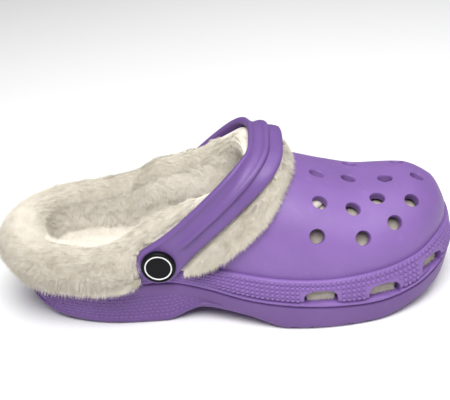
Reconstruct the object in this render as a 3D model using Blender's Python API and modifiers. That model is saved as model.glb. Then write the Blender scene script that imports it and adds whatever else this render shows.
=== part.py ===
"""Fleece-lined moulded foam clog, right shoe.

Frame while modelling: x runs from the back of the sole to the toe, y is
positive on the medial side, z is up from the ground. All sizes are in metres.
"""
import math

import bmesh
import bpy
import numpy as np
from mathutils import Matrix, Vector

# Sole
LENGTH = 0.268
BALL_WIDTH = 0.108
SOLE_HEIGHT = 0.044
BOTTOM_EDGE_INSET = 0.005
BOTTOM_BEVEL = 0.0035
TREAD_GROOVE_WIDTH = 0.004
TREAD_GROOVE_DEPTH = 0.002
SIDE_GROOVE_DEPTH = 0.0016
SIDE_GROOVE_HALF = 0.0012
BAND_SWELL = 0.0004
BAND_SHOULDER = 0.0022
BAND_LEDGE = 0.004

# Upper
UPPER_HEIGHT = 0.094
WALL = 0.0045
DOME_POWER = 2.8
TOE_ROUND = 0.008
HEEL_ROUND = 0.018
VENT_DIAMETER = 0.0092
VENT_REACH = 0.009
SLOT_WIDTH = 0.020
SLOT_HEIGHT = 0.0085
SLOT_LIFT = 0.0024
SLOT_START = 0.006
SLOT_PAST = 0.0035
SLOPE_STEP = 0.001

# Fleece
FLEECE = 0.006
INSOLE_THICKNESS = 0.006
CUFF = 0.024
LIP_THICKNESS = 0.004
LIP_CLEARANCE = 0.0007
LINING_EASE = 0.0006
CLEARANCE = 0.0003

# Strap and rivets
PIVOT_X_SHARE = 0.343
PIVOT_HEIGHT = 0.0455
STRAP_WIDTH = 0.0205
STRAP_END_DIAMETER = 0.0262
STRAP_THICKNESS = 0.0045
STRAP_REACH = 0.0868
STRAP_PITCH = math.radians(40.8)
STRAP_FLARE = math.radians(39.0)
STRAP_POWER = 3.5
STRAP_RIB_HEIGHT = 0.0011
STRAP_RIB_START = 0.0175
STRAP_RIB_EASE = 0.003
STRAP_PRESS = 0.014
BOSS_DIAMETER = 0.022
BOSS_PROUD = 0.0008
CAP_DIAMETER = 0.0200
CAP_THICKNESS = 0.0026
SHANK_DIAMETER = 0.0080
WASHER_DIAMETER = 0.0150
WASHER_THICKNESS = 0.0020

# Mesh resolution
AROUND = 64
VENT_SIDES = 12
STRAP_STEPS = 25

# Outline of the sole seen from above, heel first, then round by the lateral side.
# Columns: share of the length, share of the ball width.
OUTLINE = [
    (0.000, 0.000), (0.030, -0.208), (0.115, -0.325), (0.250, -0.381), (0.400, -0.383),
    (0.530, -0.469), (0.660, -0.518), (0.780, -0.491), (0.880, -0.405), (0.960, -0.225),
    (1.000, 0.056), (0.978, 0.268), (0.900, 0.443), (0.780, 0.485), (0.660, 0.470),
    (0.530, 0.401), (0.400, 0.352), (0.250, 0.356), (0.115, 0.334), (0.030, 0.210),
]

# Heights along the sole.
# Columns: share of the length, then shares of the sole height for the tread edge,
# the side groove, the top of the side band and the footbed, and the share of the
# upper height for the crest.
STATIONS = [
    (0.000, 0.320, 0.660, 1.000, 0.610, 0.745),
    (0.112, 0.057, 0.645, 0.966, 0.610, 0.890),
    (0.224, 0.000, 0.614, 0.932, 0.590, 0.957),
    (0.336, 0.000, 0.670, 0.952, 0.570, 0.990),
    (0.430, 0.220, 0.568, 0.889, 0.520, 1.000),
    (0.522, 0.160, 0.460, 0.836, 0.455, 0.979),
    (0.616, 0.000, 0.402, 0.789, 0.386, 0.910),
    (0.710, 0.000, 0.364, 0.768, 0.352, 0.812),
    (0.800, 0.000, 0.341, 0.790, 0.340, 0.745),
    (0.895, 0.130, 0.420, 0.864, 0.364, 0.735),
    (0.956, 0.240, 0.540, 0.966, 0.430, 0.660),
    (1.000, 0.385, 0.600, 0.977, 0.500, 0.510),
]

# Edge of the foam at the collar and throat, seen from the side.
# Columns: share of the length, share of the upper height.
COLLAR = [
    (-0.100, 0.540), (0.110, 0.532), (0.200, 0.520), (0.270, 0.548), (0.343, 0.628),
    (0.448, 0.645), (0.522, 0.723), (0.590, 0.830), (0.630, 0.920), (0.680, 1.060),
]

# Section of the fleece cuff round the opening, as shares of the cuff size.
# Columns: turn from the throat (0) to the heel (1), drop of the lip below the
# foam edge, then distance outward from the foam edge and height above it for the
# bulge, the shoulder, the ridge and the inner roll.
CUFF_SECTION = [
    (0.00, 0.25, -0.08, 0.33, -0.58, 0.60, -1.12, 0.81, -1.38, 0.54),
    (0.30, 0.38, 0.08, 0.25, -0.33, 0.67, -0.75, 0.88, -1.04, 0.58),
    (0.42, 0.54, 0.15, 0.12, -0.08, 0.70, -0.42, 1.00, -0.71, 0.67),
    (0.52, 0.67, 0.21, -0.08, 0.04, 0.58, -0.25, 1.00, -0.54, 0.67),
    (0.62, 0.83, 0.33, -0.25, 0.21, 0.42, -0.12, 0.79, -0.46, 0.50),
    (0.72, 0.90, 0.50, -0.32, 0.33, 0.31, -0.08, 0.66, -0.42, 0.40),
    (0.85, 0.98, 0.58, -0.32, 0.38, 0.27, -0.08, 0.52, -0.46, 0.30),
    (1.00, 1.00, 0.67, -0.30, 0.42, 0.23, -0.08, 0.44, -0.46, 0.24),
]

# How much lower the cuff lies on the lateral side, where it is trodden down.
# Columns: turn from the throat (0) to the heel (1), share of the cuff size.
CUFF_SAG = [
    (0.00, 0.00), (0.54, 0.00), (0.60, 0.14), (0.66, 0.36), (0.74, 0.50), (0.86, 0.40),
    (0.95, 0.16), (1.00, 0.00),
]

# Share of that sag taken by the bulge, the shoulder, the ridge and the inner roll.
SAG_SHARES = (0.0, 0.6, 1.0, 0.8)

# How far the lining reaches from the foam edge toward the footbed.
# Columns: turn from the throat (0) to the heel (1), share of the way down.
LINING_REACH = [(0.00, 0.13), (0.30, 0.18), (0.42, 0.30), (0.52, 0.70), (0.60, 1.00), (1.00, 1.00)]

# Where the cuff's lip spans straight to the side band instead of lying on the upper.
# Columns: turn from the throat (0) to the heel (1), share of the span.
LIP_SPAN = [(0.00, 0.0), (0.42, 0.0), (0.54, 1.0), (1.00, 1.0)]

# Vent holes. Columns: share of the length, share of the ball width.
VENTS = [
    (0.683, -0.425), (0.780, -0.400), (0.850, -0.322), (0.893, -0.200), (0.918, 0.017),
    (0.884, 0.208), (0.774, 0.182), (0.694, -0.290), (0.764, -0.285), (0.819, -0.200),
    (0.845, -0.018), (0.764, -0.030), (0.694, -0.055), (0.690, 0.385), (0.776, 0.395),
    (0.852, 0.320),
]

# Side slots, as turns round the outline from the heel by the lateral side.
SLOTS = [0.3095, 0.370, 0.432, 0.500, 0.568, 0.630, 0.690]

# Tread grooves across the sole, as shares of the length.
TREAD_GROOVES = [0.175, 0.225, 0.625, 0.665, 0.745, 0.785]

# Strap section from the rear edge to the front edge.
# Columns: share of the width, height of the outer face below the flat in shares
# of the thickness, share of the rib height.
STRAP_FACE = [
    (0.00, 0.35, 0.0), (0.06, 0.00, 0.45), (0.14, 0.06, 0.0), (0.40, 0.06, 0.0),
    (0.49, 0.00, 1.0), (0.60, 0.00, 1.0), (0.63, 0.10, 0.0), (0.92, 0.08, 0.0),
    (1.00, 0.40, 0.0),
]


def clear_scene():
    for obj in list(bpy.data.objects):
        bpy.data.objects.remove(obj, do_unlink=True)


def collection(name):
    made = bpy.data.collections.new(name)
    bpy.context.scene.collection.children.link(made)
    return made


def material(name, colour, roughness, metallic=0.0):
    made = bpy.data.materials.new(name)
    made.use_nodes = True
    shader = made.node_tree.nodes["Principled BSDF"]
    shader.inputs["Base Color"].default_value = (*colour, 1.0)
    shader.inputs["Roughness"].default_value = roughness
    shader.inputs["Metallic"].default_value = metallic
    return made


def smooth_curve(rows, column, scale):
    """Monotone cubic through the rows of a table; returns a function of the share."""
    knots = np.array([row[0] for row in rows])
    values = np.array([row[column] for row in rows]) * scale
    steps = np.diff(knots)
    slopes = np.diff(values) / steps
    ends = np.zeros(len(knots))
    for i in range(1, len(knots) - 1):
        if slopes[i - 1] * slopes[i] > 0:
            before = 2 * steps[i] + steps[i - 1]
            after = steps[i] + 2 * steps[i - 1]
            ends[i] = (before + after) / (before / slopes[i - 1] + after / slopes[i])
    ends[0] = slopes[0]
    ends[-1] = slopes[-1]

    def value(share):
        share = np.clip(np.asarray(share, dtype=float), knots[0], knots[-1])
        i = np.clip(np.searchsorted(knots, share, side="right") - 1, 0, len(steps) - 1)
        t = (share - knots[i]) / steps[i]
        low = values[i] * (1 + 2 * t) * (1 - t) ** 2 + steps[i] * ends[i] * t * (1 - t) ** 2
        high = values[i + 1] * t * t * (3 - 2 * t) - steps[i] * ends[i + 1] * t * t * (1 - t)
        return low + high

    return value


tread_height = smooth_curve(STATIONS, 1, SOLE_HEIGHT)
groove_height = smooth_curve(STATIONS, 2, SOLE_HEIGHT)
band_height = smooth_curve(STATIONS, 3, SOLE_HEIGHT)
footbed_height = smooth_curve(STATIONS, 4, SOLE_HEIGHT)
crest_height = smooth_curve(STATIONS, 5, UPPER_HEIGHT)
collar_height = smooth_curve(COLLAR, 1, UPPER_HEIGHT)


def control_points():
    """Control points of the closed cubic curve that passes through the outline table."""
    points = np.array([(a * LENGTH, b * BALL_WIDTH) for a, b in OUTLINE])
    count = len(points)
    system = np.zeros((count, count))
    for i in range(count):
        system[i, i] = 4 / 6
        system[i, i - 1] = 1 / 6
        system[i, (i + 1) % count] = 1 / 6
    return np.linalg.solve(system, points)


CONTROL = control_points()


def outline(turns, inset):
    """Points on the outline moved inward by inset; turns run 0 to 1 round the sole."""
    turns = np.atleast_1d(np.asarray(turns, dtype=float)) % 1.0
    count = len(CONTROL)
    place = turns * count
    i = np.floor(place).astype(int)
    t = (place - i)[:, None]
    a, b, c, d = [CONTROL[(i + k) % count] for k in (-1, 0, 1, 2)]
    point = (1 - t) ** 3 * a + (3 * t ** 3 - 6 * t ** 2 + 4) * b
    point = (point + (-3 * t ** 3 + 3 * t ** 2 + 3 * t + 1) * c + t ** 3 * d) / 6
    along = -(1 - t) ** 2 * a + (3 * t ** 2 - 4 * t) * b
    along = along + (-3 * t ** 2 + 2 * t + 1) * c + t ** 2 * d
    along = along / np.linalg.norm(along, axis=1)[:, None]
    inward = np.column_stack([-along[:, 1], along[:, 0]])
    return point + inward * np.reshape(inset, (-1, 1))


TURNS = np.arange(AROUND) / AROUND


def ring(inset, height):
    """A ring of points round the shoe; height is a function of the share of length."""
    plan = outline(TURNS, inset)
    return np.column_stack([plan, height(plan[:, 0] / LENGTH)])


def dome(inset, drop=0.0):
    """Height of the closed upper above each place, for a wall moved inward by inset."""
    edge = outline(np.arange(1600) / 1600, inset)
    tip = int(np.argmax(edge[:, 0]))
    tail = int(np.argmin(edge[:, 0]))
    lateral = np.roll(edge, -tail, axis=0)[:(tip - tail) % 1600 + 1]
    medial = np.roll(edge, -tip, axis=0)[:(tail - tip) % 1600 + 1][::-1]
    heel = edge[tail, 0]
    toe = edge[tip, 0]

    def height(x, y):
        low = np.interp(x, lateral[:, 0], lateral[:, 1])
        high = np.interp(x, medial[:, 0], medial[:, 1])
        half = np.maximum((high - low) / 2, 1e-6)
        side = np.clip(np.abs(y - (low + high) / 2) / half, 0, 1)
        base = band_height(x / LENGTH)
        rise = crest_height(x / LENGTH) - drop - base
        front = np.clip((x - toe + TOE_ROUND) / (TOE_ROUND + CLEARANCE), 0, 1)
        back = np.clip((heel + HEEL_ROUND - x) / (HEEL_ROUND + CLEARANCE), 0, 1)
        rise = rise * np.sqrt(1 - front ** 2) * np.sqrt(1 - back ** 2)
        return base + rise * np.sqrt(1 - side ** DOME_POWER)

    return height


def collar_target(start):
    """Place inside the opening toward which each line of the wall runs."""
    x = LENGTH * (0.10 + 0.35 * start[:, 0] / LENGTH)
    return np.column_stack([x, np.zeros(len(x))])


class Wall:
    """The wall from the top of the side band to the foam edge, at one inset."""

    def __init__(self, inset, lift=0.0, turns=TURNS):
        self.height = dome(inset, inset - BAND_LEDGE)
        self.start = outline(turns, inset)
        self.way = collar_target(outline(turns, 0.0)) - self.start
        self.reach = np.array([self.crossing(i, lift) for i in range(len(turns))])

    def crossing(self, i, lift):
        shares = np.linspace(0.0, 1.0, 1600) ** 2
        x = self.start[i, 0] + self.way[i, 0] * shares
        y = self.start[i, 1] + self.way[i, 1] * shares
        over = self.height(x, y) - collar_height(x / LENGTH) - lift
        k = int(np.argmax(over > 0))
        if k == 0:
            return shares[-1]
        part = over[k - 1] / (over[k - 1] - over[k])
        return shares[k - 1] + (shares[k] - shares[k - 1]) * part

    def points(self, level):
        """Ring at a level from 0 at the band to 1 at the foam edge."""
        share = (self.reach * np.asarray(level) ** 2)[:, None]
        plan = self.start + self.way * share
        return np.column_stack([plan, self.height(plan[:, 0], plan[:, 1])])


def add_object(name, mesh, home, look):
    obj = bpy.data.objects.new(name, mesh)
    home.objects.link(obj)
    if look is not None:
        mesh.materials.append(look)
        mesh.shade_smooth()
        mesh.set_sharp_from_angle(angle=math.radians(35))
    return obj


def loft(name, rings, closed, home, look):
    """Skin between rings of equal count; ends are joined together or capped across."""
    bm = bmesh.new()
    rows = [[bm.verts.new(tuple(point)) for point in row] for row in rings]
    count = len(rows[0])
    pairs = list(zip(rows[:-1], rows[1:]))
    if closed:
        pairs.append((rows[-1], rows[0]))
    for low, high in pairs:
        for i in range(count):
            j = (i + 1) % count
            bm.faces.new((low[i], low[j], high[j], high[i]))
    if not closed:
        for row in (rows[0], rows[-1]):
            cap_across(bm, row)
    bmesh.ops.triangulate(bm, faces=bm.faces[:], quad_method="SHORT_EDGE")
    bmesh.ops.recalc_face_normals(bm, faces=bm.faces[:])
    mesh = bpy.data.meshes.new(name)
    bm.to_mesh(mesh)
    bm.free()
    return add_object(name, mesh, home, look)


def cap_across(bm, row):
    """Close a ring with strips from the lateral to the medial side."""
    count = len(row)
    half = count // 2
    bm.faces.new((row[0], row[1], row[count - 1]))
    for i in range(1, half - 1):
        bm.faces.new((row[i], row[i + 1], row[count - i - 1], row[count - i]))
    bm.faces.new((row[half - 1], row[half], row[half + 1]))


def along(axis, place):
    """Turn a shape made along +Z to an axis and carry it to a place."""
    turn = Vector(axis).normalized().to_track_quat("Z", "Y").to_matrix().to_4x4()
    return Matrix.Translation(Vector(place)) @ turn


def rod(bm, radius, length, matrix, sides):
    bmesh.ops.create_cone(bm, cap_ends=True, segments=sides, radius1=radius,
                          radius2=radius, depth=length, matrix=matrix)


def finish_cutter(name, bm, home):
    mesh = bpy.data.meshes.new(name)
    bmesh.ops.recalc_face_normals(bm, faces=bm.faces[:])
    bm.to_mesh(mesh)
    bm.free()
    obj = add_object(name, mesh, home, None)
    obj.hide_render = True
    obj.display_type = "WIRE"
    return obj


def boolean(obj, tool, operation):
    modifier = obj.modifiers.new(tool.name, "BOOLEAN")
    modifier.operation = operation
    modifier.solver = "EXACT"
    modifier.object = tool


def between(low, high, share):
    return lambda x: low(x) * (1 - share) + high(x) * share


def body_rings():
    """Rings from the tread, up the side, over the edge and down to the footbed."""
    inner = BAND_LEDGE + WALL
    rings = [
        ring(BOTTOM_EDGE_INSET * 1.8, tread_height),
        ring(BOTTOM_EDGE_INSET, tread_height),
        ring(BOTTOM_EDGE_INSET * 0.36, lambda x: tread_height(x) + BOTTOM_BEVEL),
        ring(SIDE_GROOVE_DEPTH * 0.3, lambda x: groove_height(x) - SIDE_GROOVE_HALF),
        ring(SIDE_GROOVE_DEPTH, groove_height),
        ring(0.0, lambda x: groove_height(x) + SIDE_GROOVE_HALF),
        ring(-BAND_SWELL, between(groove_height, band_height, 0.5)),
        ring(BAND_LEDGE * 0.25, lambda x: band_height(x) - BAND_SHOULDER),
    ]
    outside = Wall(BAND_LEDGE)
    inside = Wall(inner)
    for level in (0.0, 0.15, 0.32, 0.5, 0.68, 0.85, 1.0):
        rings.append(outside.points(level))
    for level in (1.0, 0.94, 0.88, 0.81, 0.62, 0.35, 0.0):
        rings.append(inside.points(level))
    rings.append(ring(inner, lambda x: footbed_height(x) + FLEECE * 0.4))
    rings.append(ring(inner + FLEECE * 0.3, footbed_height))
    return rings


def vent_cutter(home):
    """Round rods square to the upper at each vent."""
    height = dome(BAND_LEDGE)
    step = SLOPE_STEP
    bm = bmesh.new()
    for share_x, share_y in VENTS:
        x = share_x * LENGTH
        y = share_y * BALL_WIDTH
        slope_x = (height(x + step, y) - height(x - step, y)) / (2 * step)
        slope_y = (height(x, y + step) - height(x, y - step)) / (2 * step)
        normal = Vector((-float(slope_x), -float(slope_y), 1.0)).normalized()
        place = Vector((x, y, float(height(x, y)))) - normal * (WALL / 2)
        rod(bm, VENT_DIAMETER / 2, WALL + 2 * VENT_REACH, along(normal, place), VENT_SIDES)
    return finish_cutter("vent_cutter", bm, home)


def slot_cutter(home):
    """Flat-bottomed, round-topped bars through the side band."""
    bm = bmesh.new()
    depth = BAND_LEDGE + WALL
    for turn in SLOTS:
        edge = outline([turn], 0.0)[0]
        inner = outline([turn], depth)[0]
        inward = Vector((*(inner - edge), 0.0)).normalized()
        across = Vector((0.0, 0.0, 1.0)).cross(inward)
        base = float(groove_height(edge[0] / LENGTH)) + SLOT_LIFT
        profile = [(-0.5, 0.0), (0.5, 0.0), (0.5, 0.30)]
        for k in range(1, 6):
            angle = math.pi * k / 6
            profile.append((0.5 * math.cos(angle), 0.30 + 0.70 * math.sin(angle)))
        profile.append((-0.5, 0.30))
        faces = []
        for reach in (-SLOT_START, depth + SLOT_PAST):
            centre = Vector((edge[0], edge[1], base)) + inward * reach
            faces.append([bm.verts.new(centre + across * (a * SLOT_WIDTH) + Vector((0, 0, b * SLOT_HEIGHT)))
                          for a, b in profile])
        count = len(profile)
        bm.faces.new(faces[0])
        bm.faces.new(faces[1][::-1])
        for i in range(count):
            j = (i + 1) % count
            bm.faces.new((faces[0][i], faces[0][j], faces[1][j], faces[1][i]))
    return finish_cutter("slot_cutter", bm, home)


def tread_cutter(home):
    """Bars across the underside."""
    bm = bmesh.new()
    for share in TREAD_GROOVES:
        turn = Matrix.Translation(Vector((share * LENGTH, 0.0, 0.0)))
        size = Matrix.Diagonal((TREAD_GROOVE_WIDTH, BALL_WIDTH * 1.4, TREAD_GROOVE_DEPTH * 2, 1.0))
        bmesh.ops.create_cube(bm, size=1.0, matrix=turn @ size)
    return finish_cutter("tread_cutter", bm, home)


class Side:
    """Places along the rivet axis on one side, from the foam outward."""

    def __init__(self, sign):
        edge = outline(np.arange(800) / 800, 0.0)
        edge = edge[:400] if sign < 0 else edge[400:]
        edge = edge[np.argsort(edge[:, 0])]
        reach = abs(float(np.interp(PIVOT_X_SHARE * LENGTH, edge[:, 0], edge[:, 1])))
        self.sign = sign
        self.name = "lateral" if sign < 0 else "medial"
        self.boss = reach + BOSS_PROUD
        self.wall_outer = reach - BAND_LEDGE
        self.wall_inner = reach - BAND_LEDGE - WALL
        self.recess = self.wall_inner + WASHER_THICKNESS + CLEARANCE
        self.strap_inner = self.boss + CLEARANCE
        self.strap_outer = self.strap_inner + STRAP_THICKNESS
        self.cap = self.strap_outer + CLEARANCE

    def rod(self, bm, radius, low, high, sides):
        place = (PIVOT_X_SHARE * LENGTH, self.sign * (low + high) / 2, PIVOT_HEIGHT)
        rod(bm, radius, high - low, along((0.0, self.sign, 0.0), place), sides)


def strap_frames(steps):
    """Centre line, width direction and outward direction of the strap."""
    lateral = Side(-1)
    medial = Side(1)
    middle = (medial.strap_outer - lateral.strap_outer) / 2
    half = (medial.strap_outer + lateral.strap_outer) / 2
    end = STRAP_END_DIAMETER / 2
    slope = Vector((math.cos(STRAP_PITCH), 0.0, math.sin(STRAP_PITCH)))
    start = Vector((PIVOT_X_SHARE * LENGTH, 0.0, PIVOT_HEIGHT))
    frames = []

    def frame(y, reach, theta, way):
        lean = STRAP_PITCH + STRAP_FLARE * math.sin(theta) ** 2
        width = Vector((-math.sin(lean), 0.0, math.cos(lean)))
        frames.append((start + Vector((0, y, 0)) + slope * reach, width, way))

    ends = [-math.cos(math.radians(a)) * end for a in (8, 24, 42, 60, 76, 90)]
    for reach in ends:
        frame(middle - half, reach, 0.0, reach)
    frame(middle - half, STRAP_RIB_START, 0.0, STRAP_RIB_START)
    power = 2 / STRAP_POWER
    for k in range(1, steps):
        theta = math.pi * k / steps
        side = math.copysign(abs(math.cos(theta)) ** power, math.cos(theta))
        rise = math.sin(theta) ** power * STRAP_REACH
        frame(middle - half * side, rise, theta, rise)
    frame(middle + half, STRAP_RIB_START, math.pi, STRAP_RIB_START)
    for reach in ends[::-1]:
        frame(middle + half, reach, math.pi, reach)
    return frames


def strap_width(way):
    """Round end about the rivet, easing into the even width of the band."""
    end = STRAP_END_DIAMETER / 2
    if way < 0:
        return 2 * math.sqrt(max(end ** 2 - way ** 2, 0.0))
    ease = min(way / STRAP_END_DIAMETER, 1.0)
    neck = math.sin(math.pi * ease) * 0.06 * STRAP_WIDTH
    return STRAP_END_DIAMETER + (STRAP_WIDTH - STRAP_END_DIAMETER) * ease - neck


def strap_loft(name, steps, grow, inward, outward, home, look):
    """Sweep the strap section; grow, inward and outward thicken it for a cutter."""
    frames = strap_frames(steps)
    rings = []
    for i, (centre, width, way) in enumerate(frames):
        before = frames[max(i - 1, 0)][0]
        after = frames[min(i + 1, len(frames) - 1)][0]
        tangent = (after - before).normalized()
        across = (width - tangent * width.dot(tangent)).normalized()
        out = tangent.cross(across).normalized()
        span = strap_width(way) + 2 * grow
        rib = min(max((way - STRAP_RIB_START) / STRAP_RIB_EASE, 0.0), 1.0) * STRAP_RIB_HEIGHT
        row = []
        for share, fall, raised in STRAP_FACE:
            if outward > 0:
                level = outward
            else:
                level = rib * raised - fall * STRAP_THICKNESS
            row.append(centre + across * (0.5 - share) * span + out * level)
        trim = 0.0 if outward > 0 else 0.04
        for share, fall in ((1 - trim, 0.92), (0.80, 1.0), (0.20, 1.0), (trim, 0.92)):
            row.append(centre + across * (0.5 - share) * span - out * (fall * STRAP_THICKNESS + inward))
        rings.append(row)
    bm = bmesh.new()
    rows = [[bm.verts.new(point) for point in row] for row in rings]
    count = len(rows[0])
    for low, high in zip(rows[:-1], rows[1:]):
        for i in range(count):
            j = (i + 1) % count
            bm.faces.new((low[i], low[j], high[j], high[i]))
    bm.faces.new(rows[0])
    bm.faces.new(rows[-1][::-1])
    bmesh.ops.triangulate(bm, faces=bm.faces[:])
    bmesh.ops.recalc_face_normals(bm, faces=bm.faces[:])
    if look is None:
        return finish_cutter(name, bm, home)
    mesh = bpy.data.meshes.new(name)
    bm.to_mesh(mesh)
    bm.free()
    return add_object(name, mesh, home, look)


def strap_hole_cutter(home):
    bm = bmesh.new()
    for sign in (-1, 1):
        side = Side(sign)
        side.rod(bm, SHANK_DIAMETER / 2 + CLEARANCE, side.boss - STRAP_THICKNESS,
                 side.strap_outer + STRAP_THICKNESS, 20)
    return finish_cutter("strap_hole_cutter", bm, home)


def rivet(side, home, look):
    """Round cap and shank turned about the rivet axis."""
    radius = CAP_DIAMETER / 2
    rim = 0.82 * radius
    shank = SHANK_DIAMETER / 2
    length = side.cap - side.wall_inner
    profile = [
        (0.0, CAP_THICKNESS * 0.86), (rim, CAP_THICKNESS * 0.86), (rim * 1.03, CAP_THICKNESS),
        (radius * 0.94, CAP_THICKNESS), (radius, CAP_THICKNESS * 0.62), (radius, 0.0),
        (shank, 0.0), (shank, -length), (0.0, -length),
    ]
    bm = bmesh.new()
    points = [bm.verts.new((a, 0.0, b)) for a, b in profile]
    for low, high in zip(points[:-1], points[1:]):
        bm.edges.new((low, high))
    mesh = bpy.data.meshes.new("rivet_button_" + side.name)
    bm.to_mesh(mesh)
    bm.free()
    obj = add_object("rivet_button_" + side.name, mesh, home, look)
    turn(obj, 20)
    obj.matrix_world = along((0.0, side.sign, 0.0),
                             (PIVOT_X_SHARE * LENGTH, side.sign * side.cap, PIVOT_HEIGHT))
    return obj


def washer(side, home, look):
    """Ring that backs the rivet inside the wall."""
    outer = WASHER_DIAMETER / 2
    hole = SHANK_DIAMETER / 2 + CLEARANCE
    profile = [(outer, WASHER_THICKNESS), (outer, 0.0), (hole, 0.0), (hole, WASHER_THICKNESS)]
    bm = bmesh.new()
    points = [bm.verts.new((a, 0.0, b)) for a, b in profile]
    for low, high in zip(points, points[1:] + points[:1]):
        bm.edges.new((low, high))
    mesh = bpy.data.meshes.new("rivet_washer_" + side.name)
    bm.to_mesh(mesh)
    bm.free()
    obj = add_object("rivet_washer_" + side.name, mesh, home, look)
    turn(obj, 20)
    obj.matrix_world = along((0.0, side.sign, 0.0),
                             (PIVOT_X_SHARE * LENGTH, side.sign * side.wall_inner, PIVOT_HEIGHT))
    return obj


def turn(obj, steps):
    screw = obj.modifiers.new("turn", "SCREW")
    screw.axis = "Z"
    screw.steps = steps
    screw.render_steps = steps
    screw.use_merge_vertices = True
    screw.merge_threshold = 0.00001
    screw.use_normal_calculate = False


def outer_profile(wall, offset):
    """Foam outside from the collar edge down to the side groove, moved out by offset.

    Toward the heel the lip spans from the foam edge to the shoulder of the side band,
    and in front it lies on the upper.
    """
    plan = outline(TURNS, -offset)
    share = plan[:, 0] / LENGTH
    shoulder = np.column_stack([plan, band_height(share) + offset])
    top = wall.points(1.0)
    span = smooth_curve(LIP_SPAN, 1, 1.0)(2 * np.abs(TURNS - 0.5))[:, None]
    rows = []
    for level in np.linspace(1.0, 0.0, 13):
        row = wall.points(level)
        part = (top[:, 2:] - row[:, 2:]) / (top[:, 2:] - shoulder[:, 2:])
        straight = top + (shoulder - top) * np.clip(part, 0, 1)
        rows.append(row * (1 - span) + straight * span)
    rows.append(shoulder)
    rows.append(np.column_stack([plan, groove_height(share)]))
    return np.array(rows)


def walk(points, distance):
    """Point and direction at a distance along a line of points."""
    steps = np.linalg.norm(np.diff(points, axis=0), axis=1)
    marks = np.concatenate([[0.0], np.cumsum(steps)])
    distance = min(distance, marks[-1] * 0.999)
    i = int(np.searchsorted(marks, distance, side="right") - 1)
    share = (distance - marks[i]) / steps[i]
    return points[i] * (1 - share) + points[i + 1] * share, (points[i + 1] - points[i]) / steps[i]


def lining_row(wall, inset, share):
    """Ring on the inner side of the wall; share runs 0 at the collar to 1 at the insole."""
    dome_part = 0.7
    level = np.clip(1 - share / dome_part, 0, 1)
    row = wall.points(level)
    plan = outline(TURNS, inset)
    bottom = footbed_height(plan[:, 0] / LENGTH) + INSOLE_THICKNESS + 2 * CLEARANCE
    down = np.clip((share - dome_part) / (1 - dome_part), 0, 1)
    row[:, 2] = row[:, 2] * (1 - down) + bottom * down
    return row


def liner_rings():
    """Rings of the lining: up inside the foam, over its edge, round the cuff and back."""
    turn_share = 2 * np.abs(TURNS - 0.5)
    reach = smooth_curve(LINING_REACH, 1, 1.0)(turn_share)
    columns = [smooth_curve(CUFF_SECTION, k, CUFF)(turn_share) for k in range(1, 10)]
    outer_inset = BAND_LEDGE + WALL + LINING_EASE
    inner_inset = outer_inset + FLEECE
    outer = Wall(outer_inset)
    inner = Wall(inner_inset)
    over_in = Wall(outer_inset, LIP_CLEARANCE * 1.3)
    over_out = Wall(BAND_LEDGE - LIP_CLEARANCE, LIP_CLEARANCE * 1.3)
    rings = [lining_row(outer, outer_inset, reach * k) for k in (1.0, 0.75, 0.5, 0.25)]
    rings.append(over_in.points(1.0))
    rings.append(over_out.points(1.0))
    profile = outer_profile(over_out, LIP_CLEARANCE)
    edge = over_out.points(1.0)
    away = -over_out.way / np.linalg.norm(over_out.way, axis=1)[:, None]
    middle = []
    lip_in = []
    lip_out = []
    for i in range(AROUND):
        line = profile[:, i]
        corner = np.sum(np.linalg.norm(np.diff(line[:14], axis=0), axis=1))
        drop = columns[0][i]
        stop = corner if drop > corner + LIP_CLEARANCE * 3 else drop * 0.55
        middle.append(walk(line, stop)[0])
        foot, direction = walk(line, drop)
        out = np.array([away[i, 0] * -direction[2], away[i, 1] * -direction[2],
                        np.dot(direction[:2], away[i])])
        lip_in.append(foot)
        lip_out.append(foot + out / np.linalg.norm(out) * LIP_THICKNESS)
    rings += [np.array(middle), np.array(lip_in), np.array(lip_out)]
    sag = smooth_curve(CUFF_SAG, 1, CUFF)(turn_share) * (TURNS < 0.5)
    marks = []
    for k, part in zip((1, 3, 5, 7), SAG_SHARES):
        plan = edge[:, :2] + away * columns[k][:, None]
        marks.append(np.column_stack([plan, edge[:, 2] + columns[k + 1] - sag * part]))
    inside = [lining_row(inner, inner_inset, reach * k) for k in (0.12, 0.4, 0.7, 1.0)]
    path = [rings[-1], *marks, *inside[:1]]
    for i in range(len(path) - 1):
        if i > 0:
            rings.append(path[i])
        if 0 < i < len(path) - 2:
            rings.append((9 * (path[i] + path[i + 1]) - path[i - 1] - path[i + 2]) / 16)
    rings += inside
    return rings


def insole_rings():
    edge = BAND_LEDGE + WALL + CLEARANCE
    low = edge + FLEECE * 0.3
    return [
        ring(low + FLEECE * 0.35, lambda x: footbed_height(x) + CLEARANCE),
        ring(low, lambda x: footbed_height(x) + FLEECE * 0.12 + CLEARANCE),
        ring(edge, lambda x: footbed_height(x) + FLEECE * 0.4 + CLEARANCE),
        ring(edge, lambda x: footbed_height(x) + INSOLE_THICKNESS * 0.85),
        ring(edge + FLEECE * 0.4, lambda x: footbed_height(x) + INSOLE_THICKNESS),
    ]


def press_cutter(home):
    """Room in the cuff for the strap ends and the bosses behind them."""
    bm = bmesh.new()
    for sign in (-1, 1):
        side = Side(sign)
        low = (side.wall_outer + side.wall_inner) / 2
        side.rod(bm, STRAP_END_DIAMETER / 2 + CLEARANCE * 1.5, low, side.strap_outer + STRAP_PRESS, 24)
    return finish_cutter("press_cutter", bm, home)


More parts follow.
